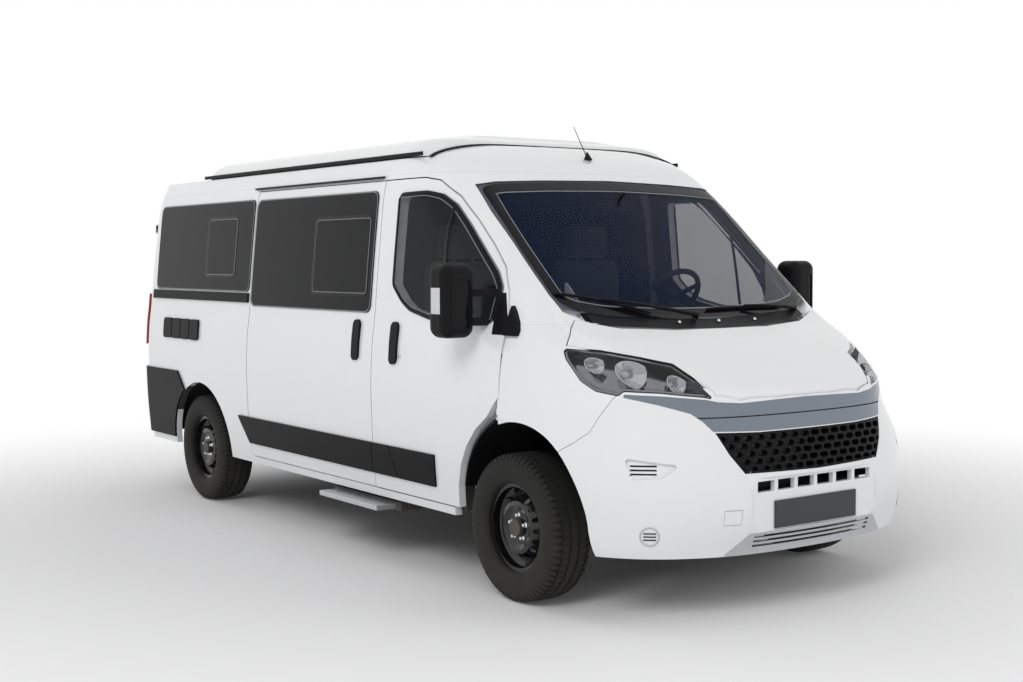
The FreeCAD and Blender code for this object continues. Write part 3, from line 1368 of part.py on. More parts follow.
def front_axle():
    """Subframe, lower arms, struts and steering rack in one welded stand-in."""
    beam = block(sx(-arm_half * 4), sx(arm_half * 4), -arm_inner_y - arm_half, arm_inner_y + arm_half,
                 arm_z[0] - wall / 2, rail_low - seat_gap)
    bay = block(sx(-arm_half * 3), sx(arm_half * 3), -rail_y + rail_width, rail_y - rail_width,
                arm_z[0] - wall, rail_low)
    parts = []
    for side in (-1, 1):
        y0, y1 = sorted((side * arm_inner_y, side * kingpin_y))
        parts.append(block(sx(0) - arm_half, sx(0) + arm_half, y0, y1, arm_z[0], arm_z[1]))
        parts.append(pin(sx(0), side * kingpin_y, arm_z[0], arm_z[1], arm_half))
        parts.append(pin(sx(0), side * kingpin_y, arm_z[0], knuckle_low + wall - half_gap,
                         king_radius))
        parts.append(pin(sx(0), side * strut_y, foot_z[0], strut_top, strut_radius))
        y0, y1 = sorted((side * strut_y, side * kingpin_y))
        parts.append(block(sx(0) - arm_half, sx(0) + arm_half, y0, y1, foot_z[0], foot_z[1]))
        parts.append(pin(sx(0), side * kingpin_y, knuckle_high - wall + half_gap, foot_z[1],
                         king_radius))
        y0, y1 = sorted((side * rail_y, side * strut_y))
        parts.append(block(sx(0) - strut_radius, sx(0) + strut_radius, y0, y1, strut_top - wall,
                           strut_top))
        y0, y1 = sorted((side * (rail_y + rail_width / 2 + seat_gap), side * (rail_y + rail_width)))
        parts.append(block(sx(0) - strut_radius, sx(0) + strut_radius, y0, y1,
                           rail_low, strut_top))
    return biggest(beam.cut(bay).fuse(parts))


axle_front = front_axle()
save("front_axle", axle_front)

spring_half = 32.0
spring_z = (352.0, 372.0)
beam_radius = 38.0


def rear_axle():
    """Dead beam with leaf springs and a spindle at each end."""
    inner = track_rear / 2 - wall * 2.6
    beam = cross_bar(rear_axle_x, -inner, inner, tyre_radius, beam_radius)
    parts = []
    for side in (-1, 1):
        face_y = track_rear / 2 + hub_face_out
        y0, y1 = sorted((side * (inner - wall), side * (face_y + wall / 2)))
        parts.append(cross_bar(rear_axle_x, y0, y1, tyre_radius, hub_radius))
        y0, y1 = sorted((side * (inner - wall), side * (face_y - rim_sheet * 1.6 - seat_gap * 2)))
        parts.append(cross_bar(rear_axle_x, y0, y1, tyre_radius, hub_radius * 1.5))
        y0 = side * (rail_y + rail_width) - spring_half
        parts.append(block(rear_axle_x - wheelbase / 5, rear_axle_x + wheelbase / 5, y0,
                           y0 + spring_half * 2, spring_z[0], spring_z[1]))
        for end in (-1, 1):
            x0 = rear_axle_x + end * (wheelbase / 5 - spring_half) - spring_half
            parts.append(block(x0, x0 + spring_half * 2, y0, y0 + spring_half * 2, spring_z[0],
                               floor_top - floor_thickness - seat_gap))
    return biggest(beam.fuse(parts))


save("rear_axle", rear_axle())

# Engine, tank and exhaust as seen from below
engine_front_at = 518.0
engine_top = 900.0
engine = block(sx(firewall_at) + wall, sx(engine_front_at), -rail_y + rail_width / 2 + seat_gap,
               rail_y - rail_width / 2 - seat_gap, rail_low + wall, engine_top)
save("engine_block", engine.cut(body_floor).cut(axle_front))

tank_at = (-2050.0, -1380.0)
tank_low = 290.0
tank = block(sx(tank_at[0]), sx(tank_at[1]), rail_y + rail_width, sill_inner - wall, tank_low,
             rail_low + wall / 2 - seat_gap)
tank = tank.makeFillet(wall, [e for e in tank.Edges if e.BoundBox.ZMax < tank_low + seat_gap])
save("fuel_tank", tank)

pipe_radius = 28.0
pipe_y = -150.0
pipe_z = 330.0
muffler_at = (-2700.0, -2000.0)
muffler_radius = 85.0
pipe = Part.makeCylinder(pipe_radius, sx(-wall * 3) - sx(pop_rear_at),
                         V(sx(pop_rear_at), pipe_y, pipe_z), V(1, 0, 0))
muffler = Part.makeCylinder(muffler_radius, muffler_at[1] - muffler_at[0],
                            V(sx(muffler_at[0]), pipe_y, pipe_z - wall), V(1, 0, 0))
pipe = pipe.cut(Part.Compound([cross_bar(rear_axle_x, -far, far, tyre_radius, beam_radius * 2)]))
pipe_front = max(pipe.Solids, key=lambda s: s.BoundBox.XMax)
hangers = [block(sx(at), sx(at) + skin, pipe_y - skin / 2, pipe_y + skin / 2, pipe_z,
                 rail_low + wall / 2 - seat_gap) for at in (cross_at[1], cross_at[3])]
save("exhaust", biggest(pipe_front.fuse([muffler] + hangers)))

# Cab: dashboard, wheel, seats
dash_profile = ((-45.0, 900.0), (-330.0, 900.0), (-430.0, 1010.0), (-450.0, 1190.0), (-360.0, 1262.0),
                (-60.0, 1262.0))
dash_pad_at = 160.0
dash = side_prism([(sx(at), z) for at, z in dash_profile], -far, far, 0.0, wall)
dash_half = bonnet_hinge_y - bonnet_arm * 2 - moving_clearance
dash_pad = block(sx(dash_profile[0][0]) - overrun, sx(dash_pad_at), -dash_half, dash_half,
                 shelf_z + seat_gap, dash_profile[-1][1])
dash = dash.fuse(dash_pad.common(envelope(ring_out + shut_gap)))
dash = cut_all(dash.common(envelope(ring_out + shut_gap)), [frame_solid] + door_swings())
dash = biggest(dash)
save("dashboard", dash)

wheel_at = -520.0
wheel_y = 420.0
wheel_z = 1345.0
wheel_ring = 190.0
wheel_tube = 15.0
column_angle = 38.0
column_length = 150.0


def steering_wheel():
    """Rim, three spokes and hub on the inclined column."""
    ring = Part.makeTorus(wheel_ring, wheel_tube, V(0, 0, 0))
    hub = Part.makeCylinder(wheel_tube * 3.4, wheel_tube * 3, V(0, 0, -wheel_tube * 2))
    spokes = []
    for angle in (90, 210, 330):
        spoke = block(0, wheel_ring, -wheel_tube * 0.9, wheel_tube * 0.9, -wheel_tube / 2, wheel_tube / 3)
        spoke.rotate(V(0, 0, 0), V(0, 0, 1), angle + 90)
        spokes.append(spoke)
    wheel = ring.fuse([hub] + spokes)
    bore = Part.makeCylinder(wheel_tube + pin_clearance, wheel_tube * 2, V(0, 0, -wheel_tube * 3))
    wheel = wheel.cut(bore)
    wheel.rotate(V(0, 0, 0), V(0, 1, 0), column_angle - 90)
    wheel.translate(V(sx(wheel_at), wheel_y, wheel_z))
    return biggest(wheel)


steering = steering_wheel()
save("steering_wheel", steering)
column_dir = V(-math.cos(math.radians(column_angle)), 0, math.sin(math.radians(column_angle)))
column_start = V(sx(wheel_at), wheel_y, wheel_z) - column_dir * (column_length + wheel_tube)
column = Part.makeCylinder(wheel_tube, column_length - pin_clearance, column_start, column_dir)
column = column.fuse(Part.makeCylinder(wheel_tube * 2.6, column_length - wheel_tube * 2, column_start,
                                       column_dir))
column = column.cut(dash)
save("steering_column", biggest(column))

seat_at = -1180.0
seat_y = 430.0
seat_half = 245.0
seat_depth = 500.0
seat_z = (850.0, 990.0)
back_top = 1560.0
back_thickness = 130.0
head_size = (110.0, 280.0, 190.0)
seat_round = 38.0
bench_at = -2350.0
bench_y = -430.0
bench_half = 430.0


def soft_block(x0, x1, y0, y1, z0, z1):
    shape = block(x0, x1, y0, y1, z0, z1)
    return shape.makeFillet(seat_round, shape.Edges)


def seat(at, y, half, low):
    """Cushion, back and head rest of one seat, facing forward."""
    x = sx(at)
    high = low + seat_z[1] - seat_z[0]
    rise = back_top - seat_z[0]
    cushion = soft_block(x, x + seat_depth, y - half, y + half, low, high)
    back = soft_block(x - back_thickness - seat_gap, x - seat_gap, y - half * 0.96, y + half * 0.96,
                      low, low + rise)
    deep, wide, tall = head_size
    head = soft_block(x - deep - half_gap, x - half_gap, y - wide / 2, y + wide / 2,
                      low + rise + seat_gap, low + rise + tall)
    return [cushion, back, head]


pieces = seat(seat_at, seat_y, seat_half, seat_z[0]) + seat(seat_at, -seat_y, seat_half, seat_z[0])
pieces += seat(bench_at, bench_y, bench_half, seat_z[0] - wall * 2)
save("seat_cushions", *pieces)
bases = []
for y in (-seat_y, seat_y):
    bases.append(block(sx(seat_at) - skin, sx(seat_at) + seat_depth - wall * 2, y - seat_half + wall,
                       y + seat_half - wall, floor_top + seat_gap, seat_z[0] - seat_gap))
bases.append(block(sx(bench_at) - skin, sx(bench_at) + seat_depth - wall, bench_y - bench_half + wall,
                   bench_y + bench_half - wall, floor_top + seat_gap, seat_z[0] - wall * 2 - seat_gap))
save("seat_bases", *bases)

unit_at = (-3950.0, -2450.0)
unit_y = (480.0, 940.0)
unit_top = 1290.0
unit = room.common(block(sx(unit_at[0]), sx(unit_at[1]), unit_y[0], far, floor_top + seat_gap, unit_top))
unit = cut_all(unit, wheelhouses(wheelhouse_extra + skin + liner))
save("kitchen_unit", biggest(unit))

# Entry step under the sliding door, shown drawn out
step_at = (-1682.0, -1068.0)
step_out = 1088.0
step_in = 800.0
step_z = (276.0, 302.0)
step_travel = 200.0
step_slab = block(sx(step_at[0]), sx(step_at[1]), -step_out, -step_in, step_z[0], step_z[1])
step_slab = step_slab.makeFillet(half_gap, [e for e in step_slab.Edges if e.BoundBox.XLength > wall])
save("entry_step", step_slab)
case_wall = 6.0
case_room = 3.0
step_case = block(sx(step_at[0]) - wall, sx(step_at[1]) + wall, -step_in - wall * 4, -rail_y - rail_width,
                  step_z[0] - case_room - case_wall, step_z[1] + case_room + case_wall)
step_case = step_case.cut(block(sx(step_at[0]) - case_room, sx(step_at[1]) + case_room, -far,
                                -rail_y - rail_width - wall, step_z[0] - seat_gap * 2,
                                step_z[1] + seat_gap * 2))
case_legs = [block(sx(at), sx(at) + cross_width, -step_in - wall, -step_in, step_z[1] + case_room,
                   rail_low + wall / 2 - seat_gap) for at in (cross_at[3],)]
save("step_case", biggest(step_case.fuse(case_legs)))

# Number plate and antenna
plate_half = 260.0
plate_z = (396.0, 516.0)
plate_thickness = 8.0
plate = block(sx(pad_at) + seat_gap, sx(pad_at) + seat_gap + plate_thickness, -plate_half,
              plate_half, *plate_z)
antenna_at = -687.0
antenna_length = 220.0
antenna_radius = 3.0
antenna_root = V(sx(antenna_at), 0, roof_height)
antenna = Part.makeCone(antenna_radius, antenna_radius / 2, antenna_length, antenna_root,
                        V(-0.55, 0, 0.83))
foot = Part.makeCone(skin, half_gap, wall, antenna_root, V(-0.2, 0, 1))
antenna = antenna.fuse(foot).cut(envelope(-seat_gap))
save("antenna", biggest(antenna))
save("number_plates", plate)
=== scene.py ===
import json
import math
import bpy
import bmesh
from mathutils import Matrix, Vector
from mathutils.bvhtree import BVHTree

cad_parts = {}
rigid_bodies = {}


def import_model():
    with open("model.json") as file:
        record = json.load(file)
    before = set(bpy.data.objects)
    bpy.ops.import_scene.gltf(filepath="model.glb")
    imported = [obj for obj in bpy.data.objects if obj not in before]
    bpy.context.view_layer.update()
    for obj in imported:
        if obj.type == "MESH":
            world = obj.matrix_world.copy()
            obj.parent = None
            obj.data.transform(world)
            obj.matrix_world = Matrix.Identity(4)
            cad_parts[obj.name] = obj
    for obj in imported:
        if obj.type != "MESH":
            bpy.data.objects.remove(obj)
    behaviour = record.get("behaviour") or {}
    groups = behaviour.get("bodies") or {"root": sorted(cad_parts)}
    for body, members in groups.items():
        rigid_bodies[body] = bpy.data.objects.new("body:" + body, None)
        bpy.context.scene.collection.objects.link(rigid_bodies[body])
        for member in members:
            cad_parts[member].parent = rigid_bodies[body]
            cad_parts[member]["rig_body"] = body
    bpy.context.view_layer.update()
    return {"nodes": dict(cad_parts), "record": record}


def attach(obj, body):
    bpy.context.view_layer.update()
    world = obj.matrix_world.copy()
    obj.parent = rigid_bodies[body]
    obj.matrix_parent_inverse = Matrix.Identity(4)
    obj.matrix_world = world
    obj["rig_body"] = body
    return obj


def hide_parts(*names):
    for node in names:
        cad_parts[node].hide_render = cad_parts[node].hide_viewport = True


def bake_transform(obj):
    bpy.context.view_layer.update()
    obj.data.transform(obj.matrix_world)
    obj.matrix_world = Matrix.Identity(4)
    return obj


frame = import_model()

print("frame loaded")

van = {"frontAxle": 1.7585, "rearAxle": -1.6915, "wheelHeight": 0.342}
bothSides = ((1, "left"), (-1, "right"))


def setSocket(node, **values):
    for name, value in values.items():
        node.inputs[name.replace("_", " ")].default_value = value


def newGroup(name, inputs, outputs):
    group = bpy.data.node_groups.new(name, "ShaderNodeTree")
    for label, value in inputs.items():
        socket = group.interface.new_socket(name=label, in_out="INPUT", socket_type="NodeSocketFloat")
        socket.default_value = value
    for label in outputs:
        group.interface.new_socket(name=label, in_out="OUTPUT", socket_type="NodeSocketFloat")
    return group, group.nodes.new("NodeGroupInput"), group.nodes.new("NodeGroupOutput")


def wire(tree, *links):
    for source, target in links:
        tree.links.new(source, target)


def mathNode(tree, operation, first, second=None, clamp=False):
    node = tree.nodes.new("ShaderNodeMath")
    node.operation = operation
    node.use_clamp = clamp
    for socket, value in zip(node.inputs, (first, second)):
        if value is None:
            continue
        if isinstance(value, (int, float)):
            socket.default_value = value
        else:
            tree.links.new(value, socket)
    return node.outputs[0]


def mixColour(tree, factor, first, second):
    node = tree.nodes.new("ShaderNodeMix")
    node.data_type = "RGBA"
    tree.links.new(factor, node.inputs["Factor"])
    for socket, value in ((node.inputs["A"], first), (node.inputs["B"], second)):
        if hasattr(value, "links"):
            tree.links.new(value, socket)
        else:
            socket.default_value = value
    return node.outputs["Result"]


# Fine grain, as noise in the object's own space: a mask and a height
def makeGrainGroup():
    group, start, end = newGroup("surfaceGrain", {"Scale": 400.0, "Detail": 3.0}, ("Mask", "Height"))
    place = group.nodes.new("ShaderNodeTexCoord")
    noise = group.nodes.new("ShaderNodeTexNoise")
    grain = noise.outputs["Fac"]
    wire(group, (place.outputs["Object"], noise.inputs["Vector"]),
         (start.outputs["Scale"], noise.inputs["Scale"]), (start.outputs["Detail"], noise.inputs["Detail"]),
         (grain, end.inputs["Mask"]), (grain, end.inputs["Height"]))
    return group


# Road dust: a mask that grows towards the ground and breaks up in patches
def makeDustGroup():
    group, start, end = newGroup("roadDust", {"Reach": 0.6, "Amount": 0.3, "Scale": 9.0}, ("Mask",))
    place = group.nodes.new("ShaderNodeTexCoord")
    split = group.nodes.new("ShaderNodeSeparateXYZ")
    noise = group.nodes.new("ShaderNodeTexNoise")
    setSocket(noise, Detail=6.0)
    wire(group, (place.outputs["Object"], split.inputs[0]), (place.outputs["Object"], noise.inputs["Vector"]),
         (start.outputs["Scale"], noise.inputs["Scale"]))
    share = mathNode(group, "DIVIDE", split.outputs["Z"], start.outputs["Reach"])
    fade = mathNode(group, "SUBTRACT", 1.0, share, clamp=True)
    broken = mathNode(group, "MULTIPLY", fade, noise.outputs["Fac"])
    mask = mathNode(group, "MULTIPLY", broken, start.outputs["Amount"], clamp=True)
    wire(group, (mask, end.inputs["Mask"]))
    return group


# Cabin lining: a mask of the faces that look at the cabin's own middle
liningShape = {"middle": -0.5, "turnedIn": -0.02}


def makeLiningGroup():
    group, start, end = newGroup("cabinLining", {"Middle Height": 1.3, "Lowest": 0.56, "Foremost": 1.62},
                                 ("Mask",))
    place = group.nodes.new("ShaderNodeTexCoord")
    split = group.nodes.new("ShaderNodeSeparateXYZ")
    facing = group.nodes.new("ShaderNodeSeparateXYZ")
    wire(group, (place.outputs["Object"], split.inputs[0]), (place.outputs["Normal"], facing.inputs[0]))
    height = mathNode(group, "SUBTRACT", split.outputs["Z"], start.outputs["Middle Height"])
    upward = mathNode(group, "MULTIPLY", height, facing.outputs["Z"])
    sideways = mathNode(group, "MULTIPLY", split.outputs["Y"], facing.outputs["Y"])
    length = mathNode(group, "SUBTRACT", split.outputs["X"], liningShape["middle"])
    lengthways = mathNode(group, "MULTIPLY", length, facing.outputs["X"])
    outward = mathNode(group, "ADD", mathNode(group, "ADD", upward, sideways), lengthways)
    inside = mathNode(group, "LESS_THAN", outward, liningShape["turnedIn"])
    above = mathNode(group, "GREATER_THAN", split.outputs["Z"], start.outputs["Lowest"])
    behind = mathNode(group, "LESS_THAN", split.outputs["X"], start.outputs["Foremost"])
    mask = mathNode(group, "MULTIPLY", mathNode(group, "MULTIPLY", inside, above), behind)
    wire(group, (mask, end.inputs["Mask"]))
    return group


grainGroup = makeGrainGroup()
dustGroup = makeDustGroup()
liningGroup = makeLiningGroup()


def addGroup(tree, group, **values):
    node = tree.nodes.new("ShaderNodeGroup")
    node.node_tree = group
    setSocket(node, **values)
    return node


def newMaterial(name):
    material = bpy.data.materials.new(name)
    material.use_nodes = True
    return material, material.node_tree, material.node_tree.nodes["Principled BSDF"]


dustColour = (0.30, 0.27, 0.23, 1.0)
liningRough = 0.9
bumpDepth = 0.0005


def makeMaterial(name, colour, second, rough, grain, bump=0.0, dust=0.0, lining=None, **sockets):
    material, tree, shader = newMaterial(name)
    setSocket(shader, Roughness=rough, **sockets)
    grains = addGroup(tree, grainGroup, Scale=grain)
    base = mixColour(tree, grains.outputs["Mask"], (*colour, 1.0), (*second, 1.0))
    if dust:
        dusty = addGroup(tree, dustGroup, Amount=dust)
        base = mixColour(tree, dusty.outputs["Mask"], base, dustColour)
    if lining:
        lined = addGroup(tree, liningGroup)
        base = mixColour(tree, lined.outputs["Mask"], base, (*lining, 1.0))
        bare = mathNode(tree, "SUBTRACT", 1.0, lined.outputs["Mask"])
        coat = mathNode(tree, "MULTIPLY", bare, sockets["Coat_Weight"])
        dull = mathNode(tree, "MULTIPLY", lined.outputs["Mask"], liningRough - rough)
        wire(tree, (coat, shader.inputs["Coat Weight"]),
             (mathNode(tree, "ADD", dull, rough), shader.inputs["Roughness"]))
    tree.links.new(base, shader.inputs["Base Color"])
    if bump:
        bumpNode = tree.nodes.new("ShaderNodeBump")
        setSocket(bumpNode, Strength=bump, Distance=bumpDepth)
        wire(tree, (grains.outputs["Height"], bumpNode.inputs["Height"]),
             (bumpNode.outputs["Normal"], shader.inputs["Normal"]))
    return material


# Each finish: colour, second colour, roughness, size of its grain, then what else it has
finishes = {
    "body_white": ((0.8, 0.81, 0.82), (0.82, 0.83, 0.84), 0.28, 6.0,
                   dict(dust=0.12, lining=(0.035, 0.036, 0.038), Coat_Weight=0.8, Coat_Roughness=0.04)),
    "bumper_white": ((0.79, 0.8, 0.81), (0.81, 0.82, 0.83), 0.32, 6.0,
                     dict(dust=0.12, Coat_Weight=0.6, Coat_Roughness=0.06)),
    "chassis_black": ((0.018, 0.018, 0.019), (0.03, 0.03, 0.03), 0.7, 60.0, dict(bump=0.3, dust=0.5)),
    "black_plastic": ((0.006, 0.006, 0.007), (0.01, 0.01, 0.011), 0.42, 900.0,
                      dict(bump=0.2, IOR=1.25, Specular_IOR_Level=0.3)),
    "black_gloss": ((0.004, 0.004, 0.005), (0.006, 0.006, 0.007), 0.14, 30.0,
                    dict(IOR=1.28, Specular_IOR_Level=0.4)),
    "silver_trim": ((0.16, 0.19, 0.23), (0.19, 0.22, 0.26), 0.32, 900.0,
                    dict(Metallic=0.6, Coat_Weight=0.3)),
    "lamp_chrome": ((0.3, 0.31, 0.34), (0.42, 0.43, 0.46), 0.16, 40.0, dict(Metallic=1.0)),
    "lamp_red": ((0.3, 0.006, 0.008), (0.34, 0.01, 0.01), 0.12, 60.0, dict(Coat_Weight=1.0)),
    "tyre_rubber": ((0.012, 0.012, 0.012), (0.02, 0.019, 0.018), 0.78, 120.0,
                    dict(bump=0.3, dust=0.1, Specular_IOR_Level=0.3)),
    "wheel_black": ((0.005, 0.005, 0.006), (0.008, 0.008, 0.009), 0.2, 20.0,
                    dict(Coat_Weight=0.3, Specular_IOR_Level=0.4)),
    "knuckle_iron": ((0.1, 0.09, 0.08), (0.14, 0.12, 0.1), 0.65, 90.0, dict(bump=0.4, Metallic=0.7)),
    "axle_black": ((0.02, 0.02, 0.02), (0.035, 0.033, 0.03), 0.6, 90.0, dict(bump=0.3, dust=0.4)),
    "engine_iron": ((0.12, 0.12, 0.12), (0.16, 0.16, 0.16), 0.6, 80.0, dict(bump=0.4, Metallic=0.8)),
    "exhaust_steel": ((0.3, 0.27, 0.24), (0.38, 0.36, 0.34), 0.45, 50.0, dict(bump=0.2, Metallic=0.9)),
    "dash_plastic": ((0.03, 0.031, 0.034), (0.038, 0.039, 0.042), 0.6, 700.0,
                     dict(bump=0.3, Specular_IOR_Level=0.2)),
    "seat_fabric": ((0.1, 0.105, 0.115), (0.14, 0.145, 0.155), 0.9, 1200.0,
                    dict(bump=0.5, Sheen_Weight=0.4)),
    "tent_canvas": ((0.34, 0.35, 0.36), (0.42, 0.43, 0.44), 0.9, 900.0, dict(bump=0.5)),
    "furniture": ((0.5, 0.43, 0.34), (0.6, 0.53, 0.43), 0.5, 14.0, {}),
    "step_alu": ((0.55, 0.56, 0.57), (0.62, 0.63, 0.64), 0.35, 300.0, dict(Metallic=0.9)),
    "plate_blank": ((0.02, 0.021, 0.023), (0.03, 0.031, 0.033), 0.35, 500.0, dict(bump=0.15)),
    "skid_silver": ((0.46, 0.47, 0.49), (0.55, 0.56, 0.58), 0.28, 500.0,
                    dict(Metallic=0.7, Coat_Weight=0.3)),
    "bowl_chrome": ((0.72, 0.73, 0.76), (0.8, 0.81, 0.83), 0.1, 40.0, dict(Metallic=1.0)),
    "lamp_amber": ((0.55, 0.17, 0.01), (0.62, 0.22, 0.02), 0.12, 300.0, dict(Coat_Weight=1.0)),
    "seal_grey": ((0.16, 0.17, 0.18), (0.22, 0.23, 0.24), 0.35, 200.0, {}),
    "bolt_steel": ((0.62, 0.62, 0.63), (0.72, 0.72, 0.73), 0.22, 150.0, dict(Metallic=1.0)),
    "mirror_silver": ((0.86, 0.87, 0.88), (0.9, 0.9, 0.9), 0.02, 5.0, dict(Metallic=1.0)),
    "lamp_wedge": ((0.012, 0.02, 0.045), (0.02, 0.03, 0.06), 0.25, 60.0, dict(Coat_Weight=0.5)),
    "seat_trim": ((0.05, 0.05, 0.055), (0.07, 0.07, 0.075), 0.7, 900.0, {}),
}
finishes["door_white"] = finishes["body_white"]
materials = {slot: makeMaterial(slot, *values[:4], **values[4]) for slot, values in finishes.items()}

# Each glass: colour, roughness, alpha, specular level and index
# dark_glass is near black and almost opaque: partly the glass's own tint, partly painted shade of the van's
# interior behind it
glasses = {"dark_glass": ((0.002, 0.0024, 0.003), 0.02, 0.985, 0.4, 1.25),
           "door_glass": ((0.004, 0.008, 0.009), 0.02, 0.3, 0.4, 1.5),
           "screen_glass": ((0.003, 0.012, 0.040), 0.02, 0.38, 0.4, 1.22),
           "lamp_clear": ((0.85, 0.86, 0.88), 0.08, 0.7, 0.5, 1.5),
           "lamp_glass": ((0.05, 0.055, 0.06), 0.02, 0.16, 0.45, 1.5)}
glassGrain = {"scale": 3.0, "paler": 1.06}


def makeGlass(name, colour, rough, alpha, shine, bend):
    material, tree, shader = newMaterial(name)
    setSocket(shader, Roughness=rough, IOR=bend, Alpha=alpha, Specular_IOR_Level=shine)
    grains = addGroup(tree, grainGroup, Scale=glassGrain["scale"])
    paler = [c * glassGrain["paler"] for c in colour]
    shade = mixColour(tree, grains.outputs["Mask"], (*colour, 1.0), (*paler, 1.0))
    tree.links.new(shade, shader.inputs["Base Color"])
    return material


for glassName, glassValues in glasses.items():
    materials[glassName] = makeGlass(glassName, *glassValues)

# The record's slot for each finish that the record doesn't have
slotOf = {row["node"]: row["material_slot"] for row in frame["record"]["subparts"]}
ownFinish = {"skid_strip": "skid_silver"}
for nodeName, node in frame["nodes"].items():
    node.data.materials.clear()
    node.data.materials.append(materials[ownFinish.get(nodeName, slotOf[nodeName])])
print("materials set")


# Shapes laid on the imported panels: a ray finds the panel, and the piece follows it
def panelTree(*names):
    points, faces = [], []
    for name in names:
        mesh = frame["nodes"][name].data
        start = len(points)
        points += [v.co.copy() for v in mesh.vertices]
        faces += [[start + i for i in p.vertices] for p in mesh.polygons]
    return BVHTree.FromPolygons(points, faces)


rayFrom = {"side": 2.0, "end": 5.0}


def fromSide(side, *names):
    tree = panelTree(*names)
    return lambda x, z: tree.ray_cast(Vector((x, side * rayFrom["side"], z)), Vector((0, -side, 0)))[:2]


def fromEnd(end, *names):
    tree = panelTree(*names)
    return lambda y, z: tree.ray_cast(Vector((end * rayFrom["end"], y, z)), Vector((-end, 0, 0)))[:2]


def bodyOf(node):
    return frame["nodes"][node]["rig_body"]


def addObject(name, data):
    thing = bpy.data.objects.new(name, data)
    bpy.context.scene.collection.objects.link(thing)
    return thing


def makePiece(name, points, faces, finish, body="body"):
    mesh = bpy.data.meshes.new(name)
    mesh.from_pydata([tuple(p) for p in points], [], faces)
    mesh.validate()
    mesh.update()
    work = bmesh.new()
    work.from_mesh(mesh)
    bmesh.ops.recalc_face_normals(work, faces=work.faces)
    work.to_mesh(mesh)
    work.free()
    piece = addObject(name, mesh)
    mesh.materials.append(materials[finish])
    mesh.shade_smooth()
    if body:
        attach(piece, body)
    return piece


def joinLists(parts):
    points, faces = [], []
    for morePoints, moreFaces in parts:
        start = len(points)
        points += list(morePoints)
        faces += [tuple(start + i for i in face) for face in moreFaces]
    return points, faces


def ringFaces(rows, columns, closedRows=False, closedColumns=True):
    faces = []
    for i in range(rows if closedRows else rows - 1):
        for j in range(columns if closedColumns else columns - 1):
            a, b = i * columns, ((i + 1) % rows) * columns
            k = (j + 1) % columns
            faces.append((a + j, a + k, b + k, b + j))
    return faces


def rounded(outline, radius, step=0.025, bends=5, most=0.45):
    corners = [Vector(p) for p in outline]
    path = []
    count = len(corners)
    for i, corner in enumerate(corners):
        before, after = corners[i - 1] - corner, corners[(i + 1) % count] - corner
        cut = min(radius, before.length * most, after.length * most)
        first, last = corner + before.normalized() * cut, corner + after.normalized() * cut
        for k in range(bends + 1):
            t = k / bends
            path.append(first * (1 - t) ** 2 + corner * 2 * t * (1 - t) + last * t * t)
    dense = []
    for i, point in enumerate(path):
        ahead = path[(i + 1) % len(path)]
        pieces = max(1, int((ahead - point).length / step))
        dense += [point.lerp(ahead, k / pieces) for k in range(pieces)]
    return dense


def turning(path):
    area = sum(a.x * b.y - b.x * a.y for a, b in zip(path, path[1:] + path[:1]))
    return 1.0 if area > 0 else -1.0


def inwardAt(outline, i, sign):
    along = (outline[(i + 1) % len(outline)] - outline[i - 1]).normalized()
    return Vector((-along.y, along.x)) * sign


# A strip that follows a closed outline: each section is an inward offset and a lift
def laidStrip(outline, sections, project, retreat=0.012):
    sign = turning(outline)
    points, columns = [], len(sections)
    count = len(outline)
    for i, place in enumerate(outline):
        inward = inwardAt(outline, i, sign)
        last = None
        for offset, lift in sections:
            spot = place + inward * offset
            hit, normal = project(spot.x, spot.y)
            if hit is None:
                spot = place + inward * (abs(offset) + retreat)
                hit, normal = project(spot.x, spot.y)
            if hit is None:
                hit, normal = last
            last = (hit, normal)
            points.append(hit + normal * lift)
    return points, ringFaces(count, columns, closedRows=True, closedColumns=False)


# A bar laid along an open line on a panel
def laidBar(line, half, lift, project, rise=0.002, step=0.02, crest=0.7):
    path = []
    for a, b in zip(line, line[1:]):
        a, b = Vector(a), Vector(b)
        pieces = max(1, int((b - a).length / step))
        path += [a.lerp(b, k / pieces) for k in range(pieces)]
    path.append(Vector(line[-1]))
    sections = ((-half, lift), (-half * crest, lift + rise), (half * crest, lift + rise), (half, lift))
    points = []
    for i, place in enumerate(path):
        along = (path[min(i + 1, len(path) - 1)] - path[max(i - 1, 0)]).normalized()
        across = Vector((-along.y, along.x))
        for offset, up in sections:
            spot = place + across * offset
            hit, normal = project(spot.x, spot.y)
            if hit is None:
                hit, normal = project(place.x, place.y)
            points.append(hit + normal * up)
    return points, ringFaces(len(path), len(sections), closedColumns=False)


def turns(count):
    angles = [2 * math.pi * k / count for k in range(count)]
    return [(math.cos(angle), math.sin(angle)) for angle in angles]


# A round bar along 3-D points, with a radius at each
def tubeAlong(path, radii, sides=10, closed=False):
    path = [Vector(p) for p in path]
    count = len(path)
    if isinstance(radii, (int, float)):
        radii = [radii] * count
    points = []
    side = None
    for i, place in enumerate(path):
        ahead = path[(i + 1) % count] if closed or i + 1 < count else place
        behind = path[i - 1] if closed or i else place
        along = (ahead - behind).normalized()
        if side is None:
            side = along.orthogonal().normalized()
        side = (side - along * side.dot(along)).normalized()
        up = along.cross(side)
        points += [place + (side * c + up * s) * radii[i] for c, s in turns(sides)]
    faces = ringFaces(count, sides, closedRows=closed)
    if not closed:
        faces.append(tuple(range(sides)))
        faces.append(tuple(range((count - 1) * sides, count * sides)))
    return points, faces


def at(value):
    return van["frontAxle"] + value


def box2(low, high):
    return [(low[0], low[1]), (high[0], low[1]), (high[0], high[1]), (low[0], high[1])]


